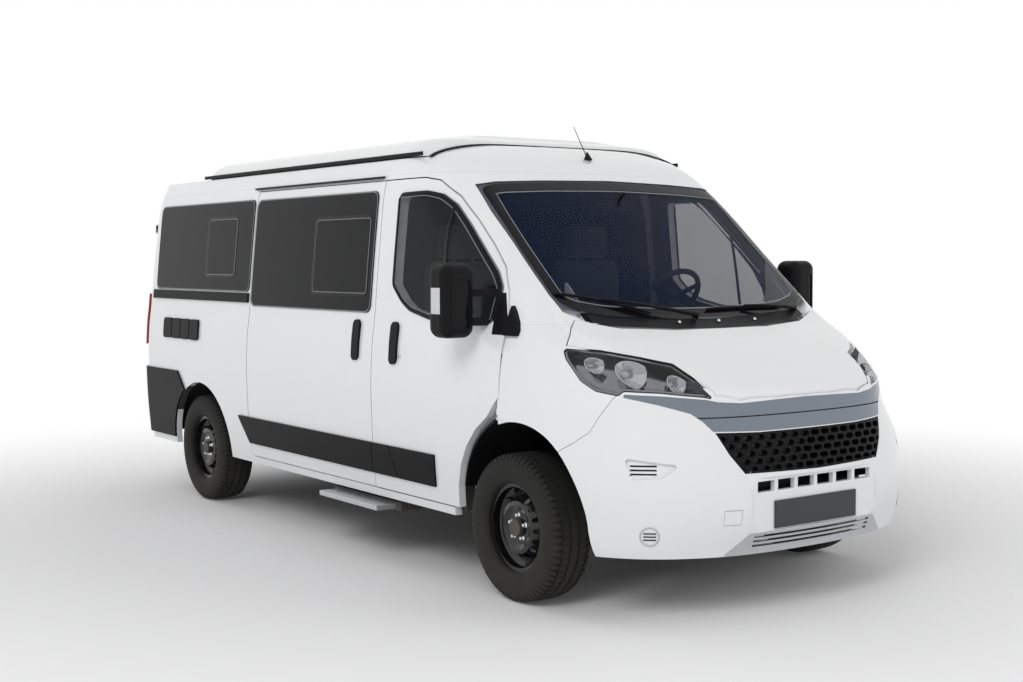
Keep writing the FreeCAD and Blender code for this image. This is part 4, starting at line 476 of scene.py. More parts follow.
# Tyres: ribs with grooves, and shoulder blocks cut across
tyreSize = {"radius": 0.3405, "width": 0.225, "groove": 0.008, "sipe": 0.003, "pitches": 66,
             "front": 0.905, "rear": 0.895, "shallow": 0.25, "shallowTo": 0.93, "rib": 0.0015,
             "steps": ((0.0, 0), (0.62, 0), (0.66, 1), (0.96, 1)), "smoothTo": 0.3,
             "shifts": {"s": (0.0, 0.5), "m": (0.75, 0.3)}}
# Half a tyre's section: b is plain, r a raised rib, s the shoulder, g a groove, m and c the middle ribs
tyreLine = [(0.340, 0.592, "b"), (0.372, 0.598, "b"), (0.430, 0.608, "b"), (0.462, 0.640, "b"),
            (0.470, 0.650, "b"), (0.492, 0.720, "b"), (0.498, 0.735, "r"), (0.499, 0.790, "b"),
            (0.490, 0.850, "b"), (0.484, 0.868, "r"), (0.470, 0.905, "s"), (0.440, 0.952, "s"),
            (0.400, 0.984, "s"), (0.330, 0.995, "s"), (0.322, 0.972, "g"), (0.290, 0.972, "g"),
            (0.282, 0.997, "m"), (0.130, 1.000, "m"), (0.122, 0.975, "g"), (0.086, 0.975, "g"),
            (0.078, 1.000, "c")]


def tyreForm():
    whole = tyreLine + [(-a, r, kind) for a, r, kind in reversed(tyreLine)]
    points, columns = [], len(whole)
    rows = tyreSize["pitches"] * len(tyreSize["steps"])
    for turn in range(tyreSize["pitches"]):
        for share, cut in tyreSize["steps"]:
            for place, (across, radius, kind) in enumerate(whole):
                shift = tyreSize["shifts"].get(kind, (0.0, 0.0))[place >= columns / 2]
                angle = 2 * math.pi * (turn + share + shift) / tyreSize["pitches"]
                r = radius * tyreSize["radius"]
                if cut and kind == "s":
                    r -= tyreSize["groove"] * (tyreSize["shallow"] if radius < tyreSize["shallowTo"] else 1)
                if cut and kind == "m":
                    r -= tyreSize["sipe"]
                if kind == "r":
                    r += tyreSize["rib"]
                points.append((r * math.cos(angle), across * tyreSize["width"], r * math.sin(angle)))
    return points, ringFaces(rows, columns, closedRows=True, closedColumns=False)


bolt = {"count": 5, "turn": 0.25, "circle": 0.056, "radius": 0.0095, "tall": 0.017, "face": 0.062,
              "sides": 18, "flat": 0.07, "flatFrom": 0.12, "flatTo": 0.9,
              "profile": ((0.0, 1.45), (0.10, 1.45), (0.16, 1.0), (0.82, 1.0), (0.95, 0.8), (1.0, 0.45))}


def boltForm(outSide):
    parts, sides, profile = [], bolt["sides"], bolt["profile"]
    for i in range(bolt["count"]):
        angle = 2 * math.pi * (i + bolt["turn"]) / bolt["count"]
        cx = bolt["circle"] * math.cos(angle)
        cz = bolt["circle"] * math.sin(angle)
        points = []
        for share, wide in profile:
            y = outSide * (bolt["face"] + share * bolt["tall"])
            flat = bolt["flat"] if bolt["flatFrom"] < share < bolt["flatTo"] else 0.0
            for k in range(sides):
                turn = 2 * math.pi * k / sides
                r = bolt["radius"] * wide * (1 - flat + flat * math.cos(6 * turn))
                points.append((cx + r * math.cos(turn), y, cz + r * math.sin(turn)))
        faces = ringFaces(len(profile), sides)
        faces.append(tuple(range((len(profile) - 1) * sides, len(profile) * sides)))
        parts.append((points, faces))
    return joinLists(parts)


def turned(profile, sides, outSide):
    points = [(radius * c, outSide * across, radius * s) for across, radius in profile
              for c, s in turns(sides)]
    return points, ringFaces(len(profile), sides)


def placedAt(part, place):
    points, faces = part
    return [Vector(p) + Vector(place) for p in points], faces


wheelParts = {"hub": ((0.052, 0.0375), (0.0645, 0.0375), (0.066, 0.0355), (0.066, 0.024), (0.0655, 0.0)),
              "rim": ((0.0835, 0.2065), (0.0850, 0.2085), (0.0838, 0.2100), (0.0815, 0.2095)),
              "hubSides": 40, "rimSides": 96, "valveOut": 0.150, "valveAngle": 2.2,
              "valveReach": (0.030, 0.052, 0.058, 0.070), "valveRadii": (0.006, 0.005, 0.004, 0.0035)}


def makeWheels():
    tyre = tyreForm()
    valveX = wheelParts["valveOut"] * math.cos(wheelParts["valveAngle"])
    valveZ = wheelParts["valveOut"] * math.sin(wheelParts["valveAngle"])
    for end, x in (("front", van["frontAxle"]), ("rear", van["rearAxle"])):
        for side, word in bothSides:
            place = (x, side * tyreSize[end], van["wheelHeight"])
            name = "%s_%s" % (end, word)
            body = bodyOf("tyre_" + name)
            piece = makePiece("tread_" + name, *placedAt(tyre, place), "tyre_rubber", body)
            piece.data.shade_flat()
            for face in piece.data.polygons:
                middle = face.center - Vector(place)
                face.use_smooth = math.hypot(middle.x, middle.z) < tyreSize["smoothTo"]
            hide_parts("tyre_" + name)
            valve = [(valveX, side * y, valveZ) for y in wheelParts["valveReach"]]
            hub = turned(wheelParts["hub"], wheelParts["hubSides"], side)
            rim = turned(wheelParts["rim"], wheelParts["rimSides"], side)
            for label, form, finish in (("wheel_bolts_", boltForm(side), "bolt_steel"),
                                        ("hub_rim_", hub, "wheel_black"), ("rim_edge_", rim, "wheel_black"),
                                        ("valve_", tubeAlong(valve, wheelParts["valveRadii"]),
                                         "black_plastic")):
                makePiece(label + name, *placedAt(form, place), finish, body)
    print("wheels made")


# Side windows: a light seal line at the edge, and the black frame of the part that slides with its line
windows = {"slide": ((-2.702, 1.285), (-1.269, 1.925), (-1.94, 1.37), (-1.31, 1.80)),
           "quarter": ((-4.200, 1.368), (-2.738, 1.930), (-3.40, 1.455), (-2.95, 1.835))}
windowBend = {"outer": 0.063, "inner": 0.04}
edgeSections = ((0.001, 0.0005), (0.0025, 0.0014), (0.0055, 0.0014), (0.007, 0.0005))
frameSections = ((0.0, 0.0005), (0.002, 0.0018), (0.012, 0.0018), (0.014, 0.0005))
thinSections = ((0.014, 0.0004), (0.0148, 0.0012), (0.0172, 0.0012), (0.018, 0.0004))


def makeSideWindows():
    for side, word in bothSides:
        onGlass = fromSide(side, "side_glass")
        for name, (low, high, innerLow, innerHigh) in windows.items():
            outer = rounded(box2((at(low[0]), low[1]), (at(high[0]), high[1])), windowBend["outer"])
            inner = rounded(box2((at(innerLow[0]), innerLow[1]), (at(innerHigh[0]), innerHigh[1])),
                            windowBend["inner"])
            for label, outline, sections, finish in (("edge", outer, edgeSections, "seal_grey"),
                                                     ("slider", inner, frameSections, "black_gloss"),
                                                     ("slider_line", inner, thinSections, "seal_grey")):
                makePiece("window_%s_%s_%s" % (label, name, word), *laidStrip(outline, sections, onGlass),
                          finish, "body")


doorPane = [(-1.062, 1.906), (-1.062, 1.430), (-0.960, 1.345), (-0.880, 1.305), (-0.690, 1.268),
            (-0.160, 1.262), (-0.160, 1.430), (-0.219, 1.506), (-0.342, 1.617), (-0.472, 1.736),
            (-0.590, 1.834), (-0.696, 1.888), (-0.810, 1.909)]
doorWindow = {"radius": 0.03, "step": 0.02, "lineIn": 0.009, "half": 0.011, "lift": 0.0008,
              "divider": ((-0.598, 1.815), (-0.556, 1.300))}
rubberSections = ((0.001, 0.0005), (0.004, 0.0040), (0.018, 0.0040), (0.022, 0.0005))


def makeDoorWindows():
    outline = rounded([(at(x), z) for x, z in doorPane], doorWindow["radius"], doorWindow["step"])
    lineSections = [(inward + doorWindow["lineIn"], lift) for inward, lift in thinSections]
    divider = [(at(x), z) for x, z in doorWindow["divider"]]
    for side, word in bothSides:
        glass = "door_glass_" + word
        onGlass = fromSide(side, glass)
        for label, form, finish in (
                ("door_rubber_", laidStrip(outline, rubberSections, onGlass), "black_plastic"),
                ("door_glass_line_", laidStrip(outline, lineSections, onGlass), "seal_grey"),
                ("quarter_divider_", laidBar(divider, doorWindow["half"], doorWindow["lift"], onGlass),
                 "black_gloss")):
            makePiece(label + word, *form, finish, bodyOf(glass))


rearWindow = {"inner": 0.118, "outer": 0.742, "foot": 1.330, "top": 1.880, "radius": 0.055, "wires": 11,
              "firstWire": 1.385, "pitch": 0.044, "margin": 0.05, "half": 0.0008, "lift": 0.0003}


def makeRearWindows():
    for side, word in bothSides:
        glass = "rear_glass_" + word
        onGlass = fromEnd(-1, glass)
        low, high = sorted((side * rearWindow["inner"], side * rearWindow["outer"]))
        outline = rounded(box2((low, rearWindow["foot"]), (high, rearWindow["top"])), rearWindow["radius"])
        makePiece("rear_rubber_" + word, *laidStrip(outline, rubberSections, onGlass), "black_plastic",
                  bodyOf(glass))
        wires, margin, lift = [], rearWindow["margin"], rearWindow["lift"]
        for i in range(rearWindow["wires"]):
            z = rearWindow["firstWire"] + i * rearWindow["pitch"]
            wires.append(laidBar([(low + margin, z), (high - margin, z)], rearWindow["half"], lift, onGlass,
                                 lift))
        makePiece("rear_heater_" + word, *joinLists(wires), "seal_grey", bodyOf(glass))


screenHalf = [(0.0, 1.2775), (0.292, 1.2815), (0.586, 1.299), (0.730, 1.328), (0.790, 1.365),
              (0.804, 1.420), (0.800, 1.560), (0.791, 1.800), (0.775, 1.924), (0.700, 1.939),
              (0.437, 1.951), (0.0, 1.959)]
screenCorner = {"radius": 0.05, "step": 0.03}
borderSections = ((0.004, 0.0006), (0.016, 0.0006), (0.029, 0.0006), (0.042, 0.0006))
pillarLine = ((0.046, 0.0005), (0.047, 0.0014), (0.050, 0.0014), (0.051, 0.0005))
# Each wiper: three points of its blade, then its pivot
wipers = {"near": (((-0.800, 1.400), (-0.582, 1.365), (-0.353, 1.302)), (-0.10, 1.284)),
          "far": (((0.001, 1.313), (0.261, 1.318), (0.553, 1.316)), (0.640, 1.300))}
wiper = {"steps": 12, "bladeLift": 0.013, "rubberLift": 0.0045, "bladeEnd": 0.003, "blade": 0.0055,
              "rubber": 0.0026, "foot": (0.004, 0.022),
              "arm": ((0.25, (0.030, 0, 0.014)), (0.7, (0.024, 0, 0.012)), (1.0, (0.006, 0, 0.004))),
              "armRadii": (0.016, 0.014, 0.009, 0.007, 0.006, 0.005)}
nozzle = {"across": (-0.224, 0.025, 0.275), "height": 1.262, "base": 0.001, "rises": (0.0, 0.006, 0.012),
               "radii": (0.010, 0.009, 0.005), "sides": 12}


def wiperForm(blade, pivot, onScreen):
    foot, footNormal = fromEnd(1, "cowl_panel", "windscreen")(*pivot)
    first, middle, last = (Vector(p) for p in blade)
    bend = middle * 2 - (first + last) * 0.5
    bladePath, rubberPath = [], []
    for i in range(wiper["steps"] + 1):
        t = i / wiper["steps"]
        spot = first * (1 - t) ** 2 + bend * 2 * t * (1 - t) + last * t * t
        hit, normal = onScreen(spot.x, spot.y)
        if hit is not None:
            bladePath.append(hit + normal * wiper["bladeLift"])
            rubberPath.append(hit + normal * wiper["rubberLift"])
    grip = bladePath[len(bladePath) // 2]
    arm = [foot + footNormal * rise for rise in wiper["foot"]]
    arm += [foot.lerp(grip, share) + Vector(off) for share, off in wiper["arm"]] + [grip]
    end = wiper["bladeEnd"]
    bladeRadii = [end] + [wiper["blade"]] * (len(bladePath) - 2) + [end]
    return joinLists([tubeAlong(bladePath, bladeRadii, 8), tubeAlong(rubberPath, wiper["rubber"], 6),
                      tubeAlong(arm, wiper["armRadii"], 10)])


def makeScreen():
    onScreen = fromEnd(1, "windscreen")
    outline = rounded(screenHalf + [(-y, z) for y, z in reversed(screenHalf) if y > 0],
                      screenCorner["radius"], screenCorner["step"])
    makePiece("screen_border", *laidStrip(outline, borderSections, onScreen), "black_gloss")
    makePiece("screen_line", *laidStrip(outline, pillarLine, onScreen), "seal_grey")
    for name, (blade, pivot) in wipers.items():
        makePiece("wiper_" + name, *wiperForm(blade, pivot, onScreen), "black_plastic")
    onCowl = fromEnd(1, "cowl_panel")
    nozzles = []
    for y in nozzle["across"]:
        hit, normal = onCowl(y, nozzle["height"])
        if hit is not None:
            base = hit + normal * nozzle["base"]
            nozzles.append(tubeAlong([base + normal * rise for rise in nozzle["rises"]],
                                     nozzle["radii"], nozzle["sides"]))
    if nozzles:
        makePiece("washer_nozzles", *joinLists(nozzles), "bolt_steel")
    print("windows made")


# A grid laid on a panel: columns and rows are low, high and count
def patch(columns, rows, project, lift, edge):
    points = []
    for j in range(rows[2] + 1):
        for i in range(columns[2] + 1):
            u = columns[0] + (columns[1] - columns[0]) * i / columns[2]
            v = rows[0] + (rows[1] - rows[0]) * j / rows[2]
            hit, normal = project(u, v)
            onEdge = i in (0, columns[2]) or j in (0, rows[2])
            if hit is None:
                return [], []
            points.append(hit + normal * (edge if onEdge else lift))
    return points, ringFaces(rows[2] + 1, columns[2] + 1, closedColumns=False)


def sided(side, columns):
    low, high = sorted((side * columns[0], side * columns[1]))
    return low, high, columns[2]


# Mirrors: dark panel in front, glass behind, indicator on the outer edge
mirrorFaces = {"panel": ((1.098, 1.190, 8), (1.246, 1.504, 14), 0.005, 0.001, "black_gloss"),
               "glass": ((1.078, 1.210, 8), (1.226, 1.524, 14), 0.0035, 0.001, "mirror_silver"),
               "indicator": ((1.445, 1.520, 8), (1.315, 1.435, 10), 0.0045, 0.0006, "lamp_clear")}
# Plate over the door's front corner that carries the mirror's arms
plate = {"rear": -0.166, "front": -0.088, "low": 1.218, "knee": 1.300, "high": 1.410,
              "topFront": -0.142, "lift": 0.0035, "edge": 0.0006, "rows": 14, "columns": 6}


def footForm(side, word):
    onDoor = fromSide(side, "door_" + word, "door_glass_" + word)
    points = []
    rows, columns = plate["rows"], plate["columns"]
    for j in range(rows + 1):
        z = plate["low"] + (plate["high"] - plate["low"]) * j / rows
        lean = max(0.0, (z - plate["knee"]) / (plate["high"] - plate["knee"]))
        front = plate["front"] + (plate["topFront"] - plate["front"]) * lean
        for i in range(columns + 1):
            hit, _ = onDoor(at(plate["rear"] + (front - plate["rear"]) * i / columns), z)
            edge = i in (0, columns) or j in (0, rows)
            points.append(hit + Vector((0, side * plate["edge" if edge else "lift"], 0)))
    return points, ringFaces(rows + 1, columns + 1, closedColumns=False)


def makeMirrors():
    for side, word in bothSides:
        trim = "door_trim_" + word
        seen = {"panel": fromEnd(1, trim), "glass": fromEnd(-1, trim), "indicator": fromSide(side, trim)}
        for name, (columns, rows, lift, edge, finish) in mirrorFaces.items():
            if name != "indicator":
                columns = sided(side, columns)
            makePiece("mirror_%s_%s" % (name, word), *patch(columns, rows, seen[name], lift, edge), finish,
                      bodyOf(trim))
        makePiece("mirror_foot_" + word, *footForm(side, word), "black_plastic", bodyOf(trim))
    print("mirrors made")


# Headlamps: bowls whose mouths follow the lens, chrome rings, bulbs and the dark inner wedge
lampBowls = ((0.745, 1.062, 0.058, 0.085), (0.622, 1.022, 0.038, 0.075), (0.842, 1.098, 0.034, 0.070))
lamp = {"behind": 0.012, "mouthBack": 0.010, "sides": 40, "rows": 9, "narrowing": 0.86,
             "ring": 0.0022, "bulb": (-0.004, 0.012, 0.030, 0.036), "fullRadius": 0.058,
             "bulbRadii": (0.016, 0.014, 0.011, 0.004), "wedgeLift": 0.006,
             "wedgeAcross": (0.520, 0.575, 6), "wedgeLow": 0.975, "wedgeHigh": 1.035}


def bowlForm(y, z, radius, deep, onLens):
    centre, _ = onLens(y, z)
    throat = centre.x - deep - lamp["behind"]
    count, rows = lamp["sides"], lamp["rows"]
    mouth = []
    for c, s in turns(count):
        spot = (y + radius * c, z + radius * s)
        hit, _ = onLens(*spot)
        back = lamp["mouthBack"]
        x = min(centre.x, hit.x) - back if hit is not None else throat + back
        mouth.append(Vector((x, *spot)))
    points = []
    for i in range(rows + 1):
        share = 1 - i / rows * lamp["narrowing"]
        for rim in mouth:
            spot = Vector((0, y, z)).lerp(Vector((0, rim.y, rim.z)), share)
            points.append(Vector((throat + (rim.x - throat) * share ** 2, spot.y, spot.z)))
    axis = [Vector((throat + step, y, z)) for step in lamp["bulb"]]
    bulbRadii = [r * radius / lamp["fullRadius"] for r in lamp["bulbRadii"]]
    return ((points, ringFaces(rows + 1, count)), tubeAlong(mouth, lamp["ring"], 8, closed=True),
            tubeAlong(axis, bulbRadii, 14))


def wedgeForm(side, onBack):
    low, high, count = sided(side, lamp["wedgeAcross"])
    points = []
    for j in range(count + 1):
        z = lamp["wedgeLow"] + (lamp["wedgeHigh"] - lamp["wedgeLow"]) * j / count
        for i in range(count + 1):
            hit, _ = onBack(low + (high - low) * i / count, z)
            if hit is None:
                return [], []
            points.append(hit + Vector((lamp["wedgeLift"], 0, 0)))
    return points, ringFaces(count + 1, count + 1, closedColumns=False)


def makeLamps():
    onLens, onBack = fromEnd(1, "headlamp_lenses"), fromEnd(1, "headlamp_housings")
    forms = [bowlForm(side * y, z, radius, deep, onLens) for side, _ in bothSides
             for y, z, radius, deep in lampBowls]
    for name, parts, finish in zip(("lamp_bowls", "lamp_rings", "lamp_bulbs"), zip(*forms),
                                   ("bowl_chrome", "bolt_steel", "lamp_clear")):
        makePiece(name, *joinLists(parts), finish, "body")
    wedges = joinLists([wedgeForm(side, onBack) for side, _ in bothSides])
    if wedges[0]:
        makePiece("lamp_wedges", *wedges, "lamp_wedge")
    print("lamps made")


# Padding: a crowned closed form whose sides pull in between its corners, with sewn channels
padding = {"power": 7.0, "seam": 0.035, "skin": 0.3, "fade": 8}


def padForm(low, high, thick, channels=(), cuts=16, crown=0.24, pull=0.035):
    work = bmesh.new()
    bmesh.ops.create_cube(work, size=2.0)
    bmesh.ops.subdivide_edges(work, edges=work.edges[:], cuts=cuts, use_grid_fill=True)
    low, high = Vector(low), Vector(high)
    centre, half = (low + high) / 2, (high - low) / 2
    flat = [i for i in range(3) if i != thick]
    power = padding["power"]
    for v in work.verts:
        p = Vector(v.co)
        p *= max(abs(c) for c in p) / sum(abs(c) ** power for c in p) ** (1 / power)
        u, w = p[flat[0]], p[flat[1]]
        p[thick] *= 1 - crown + crown * (1 - u * u) * (1 - w * w)
        for place, deep in channels:
            if abs(p[thick]) > padding["skin"]:
                dip = deep * math.exp(-((w - place) / padding["seam"]) ** 2) * (1 - u ** padding["fade"])
                p[thick] -= math.copysign(dip, p[thick])
        p[flat[0]] = u * (1 - pull * (1 - w * w))
        p[flat[1]] = w * (1 - pull * (1 - u * u))
        v.co = centre + Vector(a * b for a, b in zip(p, half))
    work.verts.ensure_lookup_table()
    points = [v.co.copy() for v in work.verts]
    faces = [tuple(v.index for v in f.verts) for f in work.faces]
    work.free()
    return points, faces


piping = {"steps": 72, "square": 0.32, "pull": 0.035, "inset": 0.0036, "radius": 0.0035, "sides": 7}


def pipingForm(low, high, thick):
    low, high = Vector(low), Vector(high)
    centre, half = (low + high) / 2, (high - low) / 2
    first, second = [i for i in range(3) if i != thick]
    pull, inset = piping["pull"], piping["inset"]
    path = []
    for pair in turns(piping["steps"]):
        u, w = (math.copysign(abs(c) ** piping["square"], c) for c in pair)
        p = Vector((0, 0, 0))
        p[first] = u * (half[first] * (1 - pull * (1 - w * w)) - inset)
        p[second] = w * (half[second] * (1 - pull * (1 - u * u)) - inset)
        path.append(centre + p)
    return tubeAlong(path, piping["radius"], piping["sides"], closed=True)


# Each seat: middle, half width, rear of the base, its underside and the top of the back
seatRows = {"driver": (0.430, 0.245, 0.578, 0.850, 1.560),
            "passenger": (-0.430, 0.245, 0.578, 0.850, 1.560),
            "bench": (-0.430, 0.430, -0.591, 0.766, 1.476)}
seat = {"deep": 0.500, "thick": 0.140, "back": 0.130, "narrower": 0.012, "gap": 0.004, "fill": 0.75,
             "headRear": 0.113, "headFront": 0.003, "headHalf": 0.140, "headGap": 0.006, "headTop": 0.190,
             "postBack": 0.058, "postSide": 0.06, "postLow": 0.03, "postHigh": 0.05, "post": 0.006}
seatSeams = {"base": ((-0.62, 0.12), (0.62, 0.12)), "bench": ((-0.45, 0.1), (0.45, 0.1)),
             "back": ((-0.1, 0.10), (0.35, 0.10), (0.72, 0.12))}


def makeSeats():
    s = seat
    for name, (y, half, x, z, top) in seatRows.items():
        narrow = half - s["narrower"]
        forms = {"base": ((x, y - half, z), (x + s["deep"], y + half, z + s["thick"]), 2,
                          seatSeams["bench" if name == "bench" else "base"]),
                 "back": ((x - s["back"], y - narrow, z + s["gap"]), (x, y + narrow, top), 0,
                          seatSeams["back"]),
                 "head": ((x - s["headRear"], y - s["headHalf"], top + s["headGap"]),
                          (x - s["headFront"], y + s["headHalf"], top + s["headTop"]), 0, ())}
        for kind, (low, high, thick, channels) in forms.items():
            piece = makePiece("seat_%s_%s" % (kind, name), *padForm(low, high, thick, channels),
                              "seat_fabric", "body")
            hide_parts("seat_cushions")
            makePiece("piping_%s_%s" % (kind, name), *pipingForm(low, high, thick), "seat_trim")
        posts = [tubeAlong([(x - s["postBack"], y + side * s["postSide"], top + rise)
                            for rise in (-s["postLow"], s["postHigh"])], s["post"]) for side in (1, -1)]
        makePiece("head_posts_" + name, *joinLists(posts), "bolt_steel")
    print("seats made")


# Roof tent: one folded canvas sheet round the hatch, running from the roof up to the lifting roof
canvas = {"rear": -1.705, "front": 0.612, "half": 0.674, "fold": 0.030, "layers": 14, "low": 2.0885,
             "high": 2.1215, "corner": 0.06, "step": 0.05, "ripple": 0.0015, "turn": 1.7, "hold": 0.001}


def makeTent():
    low, high, layers = canvas["low"], canvas["high"], canvas["layers"]
    outline = rounded(box2((canvas["rear"], -canvas["half"]),
                           (canvas["front"], canvas["half"])), canvas["corner"], canvas["step"])
    count, sign = len(outline), turning(outline)
    points = []
    for j in range(layers + 1):
        z = low + (high - low) * j / layers
        for i, place in enumerate(outline):
            ripple = canvas["ripple"] * math.sin(i * canvas["turn"] + j)
            spot = place + inwardAt(outline, i, sign) * ((j % 2) * canvas["fold"] + ripple)
            points.append(Vector((spot.x, spot.y, z)))
    tent = makePiece("tent_canvas", points, ringFaces(layers + 1, count), "tent_canvas", None)
    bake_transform(tent)
    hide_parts("roof_tent")


# Tail lamps: clear and amber fields on the red lens
tailFields = {"clear": ((1.045, 1.105, 6), "lamp_clear"), "amber": ((1.118, 1.190, 6), "lamp_amber")}
tail = {"columns": (0.930, 1.004, 6), "lift": 0.0025, "edge": 0.0004}


def makeTailFields():
    onLamp = fromEnd(-1, "tail_lamps")
    for side, word in bothSides:
        for name, (rows, finish) in tailFields.items():
            form = patch(sided(side, tail["columns"]), rows, onLamp, tail["lift"],
                         tail["edge"])
            if form[0]:
                makePiece("tail_%s_%s" % (name, word), *form, finish, "body")


# Grille: painted highlights, short bright steel bars scattered over the mesh where its edges glint
glintTick = {"rows": 10, "columns": 15, "across": 0.033, "up": 0.0165, "low": 0.652, "half": 0.005,
             "flat": 0.004, "rearmost": 2.52, "lift": 0.001, "radius": 0.0011, "pattern": (7, 5, 4)}


def makeGrilleGlints():
    onMesh = fromEnd(1, "grille")
    glintTicks = []
    byRow, byColumn, every = glintTick["pattern"]
    for row in range(glintTick["rows"]):
        for column in range(-glintTick["columns"], glintTick["columns"] + 1):
            if (row * byRow + column * byColumn) % every:
                continue
            y, z = column * glintTick["across"], glintTick["low"] + row * glintTick["up"]
            ends = [onMesh(y + s * glintTick["half"], z)[0] for s in (-1, 0, 1)]
            if None in ends or max(e.x for e in ends) - min(e.x for e in ends) > glintTick["flat"]:
                continue
            if ends[1].x >= glintTick["rearmost"]:
                line = [e + Vector((glintTick["lift"], 0, 0)) for e in ends]
                glintTicks.append(tubeAlong(line, glintTick["radius"], 6))
    # painted glints: the bright bars stand in for highlights on the mesh edges
    makePiece("grille_painted_glints", *joinLists(glintTicks), "bolt_steel")


# Round fog lamp cover in each lower corner of the bumper: a ring and three slits
cover = {"y": 0.803, "z": 0.391, "radius": 0.040, "slits": (-0.014, 0.0, 0.014), "slitHalf": 0.68,
              "sides": 40, "ring": 0.0032, "slit": 0.0026, "ringLift": 0.001, "slitLift": 0.0012}


def makeCovers():
    onBumper = fromEnd(1, "front_bumper")
    rings, slits = [], []
    for side, _ in bothSides:
        middle, normal = onBumper(side * cover["y"], cover["z"])
        across = Vector((0, 0, 1)).cross(normal).normalized()
        up = normal.cross(across)
        path = []
        for c, s in turns(cover["sides"]):
            spot = middle + (across * c + up * s) * cover["radius"]
            path.append((onBumper(spot.y, spot.z)[0] or spot) + normal * cover["ringLift"])
        rings.append(tubeAlong(path, cover["ring"], 8, closed=True))
        for lift in cover["slits"]:
            half = cover["radius"] * cover["slitHalf"]
            line = [middle + up * lift + across * (half * s / 4) for s in range(-4, 5)]
            line = [(onBumper(p.y, p.z)[0] or p) + normal * cover["slitLift"] for p in line]
            slits.append(tubeAlong(line, cover["slit"], 6))
    makePiece("cover_rings", *joinLists(rings), "skid_silver")
    makePiece("cover_slits", *joinLists(slits), "black_plastic")


# Steering wheel: padded boss and its seam, stalks on the column, instrument hood on the dash
boss = {"place": (1.2385, 0.420, 1.345), "lean": 38.0, "radius": 0.062, "sides": 40,
              "wider": 0.10, "lower": 0.86, "columnDown": 0.055, "stalkOut": 0.020,
              "stalk": ((0.05, 0.004), (0.11, 0.010), (0.125, 0.011)),
              "stalkRadii": (0.007, 0.006, 0.008, 0.004),
              "profile": ((-0.012, 1.0), (0.008, 1.02), (0.018, 0.92), (0.0235, 0.72), (0.0225, 0.66),
                          (0.026, 0.60), (0.029, 0.35), (0.030, 0.02))}
dash = {"hood": ((1.375, 0.270, 1.235), (1.545, 0.570, 1.302)), "vents": (-0.62, -0.16, 0.06, 0.66),
             "ventLow": (1.352, 1.222), "ventHigh": (1.425, 1.276), "ventHalf": 0.05,
             "mirror": ((1.300, -0.115, 1.795), (1.330, 0.115, 1.865)),
             "stem": ((1.316, 0, 1.850), (1.345, 0, 1.885), (1.372, 0, 1.896)),
             "stemRadii": (0.008, 0.007, 0.009)}


def makeDriverGear():
    lean = math.radians(boss["lean"])
    axis, side = Vector((-math.cos(lean), 0, math.sin(lean))), Vector((0, 1, 0))
    up, centre = axis.cross(side), Vector(boss["place"])
    points, count, profile = [], boss["sides"], boss["profile"]
    for rise, share in profile:
        for c, s in turns(count):
            wide = boss["radius"] * share * (1 + boss["wider"] * abs(c) ** 3)
            points.append(centre + axis * rise + side * (wide * c) + up * (wide * s * boss["lower"]))
    makePiece("steering_pad", points, ringFaces(len(profile), count), "dash_plastic", "steering_wheel")
    stalks = []
    for sign in (1, -1):
        start = centre - axis * boss["columnDown"] + side * (sign * boss["stalkOut"])
        line = [start] + [start + side * (sign * out) - up * drop for out, drop in boss["stalk"]]
        stalks.append(tubeAlong(line, boss["stalkRadii"], 12))
    makePiece("column_stalks", *joinLists(stalks), "dash_plastic")
    makePiece("instrument_hood", *padForm(*dash["hood"], 2, cuts=12, crown=0.30, pull=0.02), "dash_plastic")
    vents, half = [], dash["ventHalf"]
    for y in dash["vents"]:
        (lowX, lowZ), (highX, highZ) = dash["ventLow"], dash["ventHigh"]
        vents.append(padForm((lowX, y - half, lowZ), (highX, y + half, highZ), 2, ((0.0, 0.1),), cuts=8,
                             crown=0.2, pull=0.02))
    makePiece("dash_vents", *joinLists(vents), "black_plastic")
    mirror = padForm(*dash["mirror"], 0, cuts=10, crown=0.12, pull=0.03)
    stem = tubeAlong(dash["stem"], dash["stemRadii"])
    makePiece("cab_mirror", *joinLists([mirror, stem]), "black_plastic")
    print("driver gear made")


# Lock barrels by the front handles, and the rear doors' pull over the plate recess
lock = {"place": (-0.945, 1.075), "rises": (0.0005, 0.003, 0.0036), "radii": (0.011, 0.010, 0.006),
             "pull": (-0.085, 1.060), "pullLow": (-0.022, -0.045, -0.11), "pullHigh": (0.0, 0.045, 0.11)}


def makeLocks():
    x, z = lock["place"]
    for side, word in bothSides:
        hit, normal = fromSide(side, "door_" + word)(at(x), z)
        barrel = tubeAlong([hit + normal * s for s in lock["rises"]], lock["radii"], 20)
        makePiece("lock_barrel_" + word, *barrel, "bolt_steel", bodyOf("door_" + word))
    hit, _ = fromEnd(-1, "rear_door_right")(*lock["pull"])
    low, high = hit + Vector(lock["pullLow"]), hit + Vector(lock["pullHigh"])
    makePiece("rear_pull", *padForm(low, high, 0, ((0.0, 0.3),), cuts=12, crown=0.25, pull=0.02),
              "black_plastic", "rear_door_right")


makeWheels()
makeTailFields()
makeGrilleGlints()
makeCovers()
makeDriverGear()
makeLocks()
makeSideWindows()
makeDoorWindows()
makeRearWindows()
makeScreen()
makeMirrors()
makeLamps()
makeSeats()
makeTent()


# Floor, backdrop, lights and camera
backdrop = {"fadeStart": 1.5, "fadeEnd": 6.5, "colour": (0.90, 0.90, 0.91, 1.0), "rough": 0.9,
              "half": 60.0, "white": (1.0, 1.0, 1.0, 1.0), "strength": 0.42}


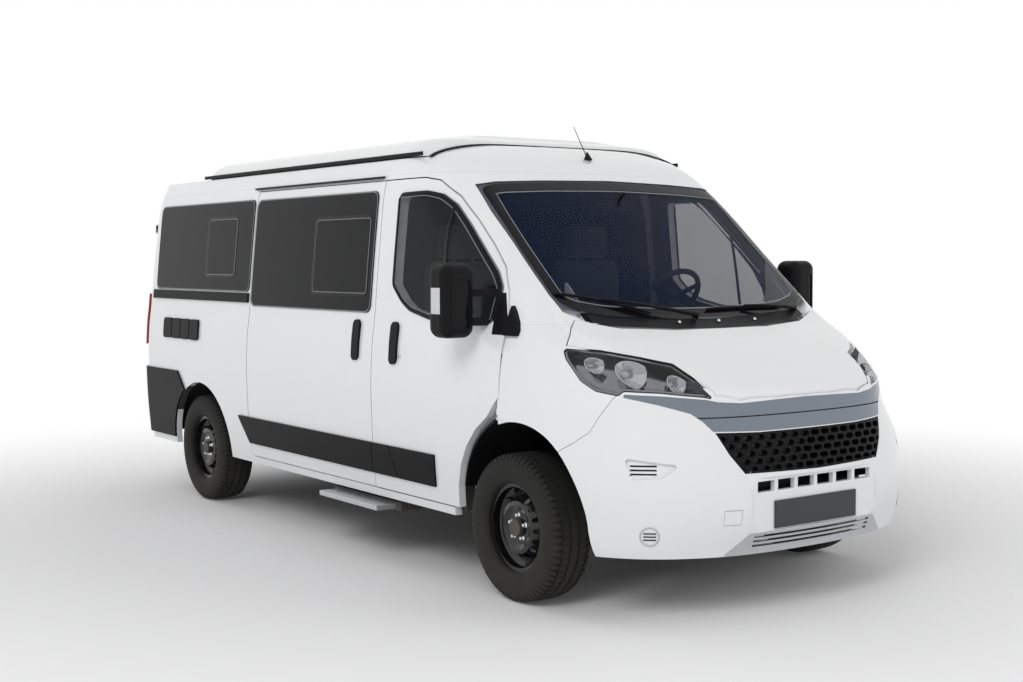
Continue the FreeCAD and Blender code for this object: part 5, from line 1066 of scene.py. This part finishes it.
def makeFloor():
    material, tree, shader = newMaterial("paleFloor")
    setSocket(shader, Roughness=backdrop["rough"], Base_Color=backdrop["colour"])
    place = tree.nodes.new("ShaderNodeNewGeometry")
    length = tree.nodes.new("ShaderNodeVectorMath")
    length.operation = "LENGTH"
    fade = tree.nodes.new("ShaderNodeMapRange")
    fade.interpolation_type = "SMOOTHSTEP"
    setSocket(fade, From_Min=backdrop["fadeStart"], From_Max=backdrop["fadeEnd"])
    far = tree.nodes.new("ShaderNodeEmission")
    blendFloor = tree.nodes.new("ShaderNodeMixShader")
    wire(tree, (place.outputs["Position"], length.inputs[0]), (length.outputs["Value"], fade.inputs["Value"]),
         (fade.outputs["Result"], blendFloor.inputs[0]), (shader.outputs[0], blendFloor.inputs[1]),
         (far.outputs[0], blendFloor.inputs[2]),
         (blendFloor.outputs[0], tree.nodes["Material Output"].inputs["Surface"]))
    mesh = bpy.data.meshes.new("floor")
    half = backdrop["half"]
    mesh.from_pydata([(x, y, 0) for x, y in box2((-half, -half), (half, half))], [], [(0, 1, 2, 3)])
    floor = addObject("floor", mesh)
    mesh.materials.append(material)


# White where the camera, glass and gloss see the world, and dimmer as a light
def makeWorld():
    world = bpy.data.worlds.new("studio")
    bpy.context.scene.world = world
    world.use_nodes = True
    tree = world.node_tree
    dim, plain = tree.nodes["Background"], tree.nodes.new("ShaderNodeBackground")
    setSocket(dim, Color=backdrop["white"], Strength=backdrop["strength"])
    setSocket(plain, Color=backdrop["white"], Strength=1.0)
    path = tree.nodes.new("ShaderNodeLightPath")
    mix = tree.nodes.new("ShaderNodeMixShader")
    seen = mathNode(tree, "MAXIMUM", path.outputs["Is Camera Ray"], path.outputs["Is Transmission Ray"])
    seen = mathNode(tree, "MAXIMUM", seen, path.outputs["Is Glossy Ray"])
    wire(tree, (seen, mix.inputs[0]), (dim.outputs[0], mix.inputs[1]), (plain.outputs[0], mix.inputs[2]),
         (mix.outputs[0], tree.nodes["World Output"].inputs["Surface"]))


# Each lamp: place, target, size and power
lamps = {"keyLight": ((7.0, -9.0, 8.0), (0, 0, 1.0), (5.0, 5.0), 560.0),
         "fillLight": ((9.0, 6.0, 6.0), (1.0, 0, 1.0), (5.0, 5.0), 170.0),
         "backLight": ((-9.0, -3.0, 7.0), (0, 0, 1.0), (5.0, 5.0), 170.0)}


def addLight(name, place, target, size, energy):
    data = bpy.data.lights.new(name, "AREA")
    data.shape = "RECTANGLE"
    data.size, data.size_y = size
    data.energy = energy
    light = addObject(name, data)
    light.location = place
    light.visible_glossy = False  # no hard lamp shapes in the paint
    light.rotation_mode = "QUATERNION"
    light.rotation_quaternion = (Vector(target) - Vector(place)).to_track_quat("-Z", "Y")


camera = {"place": (6.906, -4.7293, 1.5759), "yaw": 144.093, "pitch": -3.423, "roll": -0.25,
          "focal": 1408.99, "frameWidth": 1023.0, "sensor": 36.0}


def makeCamera():
    yaw, pitch, roll = (math.radians(camera[k]) for k in ("yaw", "pitch", "roll"))
    ahead = Vector((math.cos(pitch) * math.cos(yaw), math.cos(pitch) * math.sin(yaw), math.sin(pitch)))
    right = ahead.cross(Vector((0, 0, 1))).normalized()
    up = right.cross(ahead)
    tiltedRight = right * math.cos(roll) + up * math.sin(roll)
    tiltedUp = up * math.cos(roll) - right * math.sin(roll)
    data = bpy.data.cameras.new("camera")
    data.sensor_width = camera["sensor"]
    data.lens = camera["focal"] * camera["sensor"] / camera["frameWidth"]
    thing = addObject("camera", data)
    turn = Matrix((tiltedRight, tiltedUp, -ahead)).transposed().to_4x4()
    thing.matrix_world = Matrix.Translation(camera["place"]) @ turn
    bpy.context.scene.camera = thing


makeFloor()
makeWorld()
for name, values in lamps.items():
    addLight(name, *values)
makeCamera()
print("stage and camera set")

bpy.context.scene.view_settings.view_transform = "Standard"
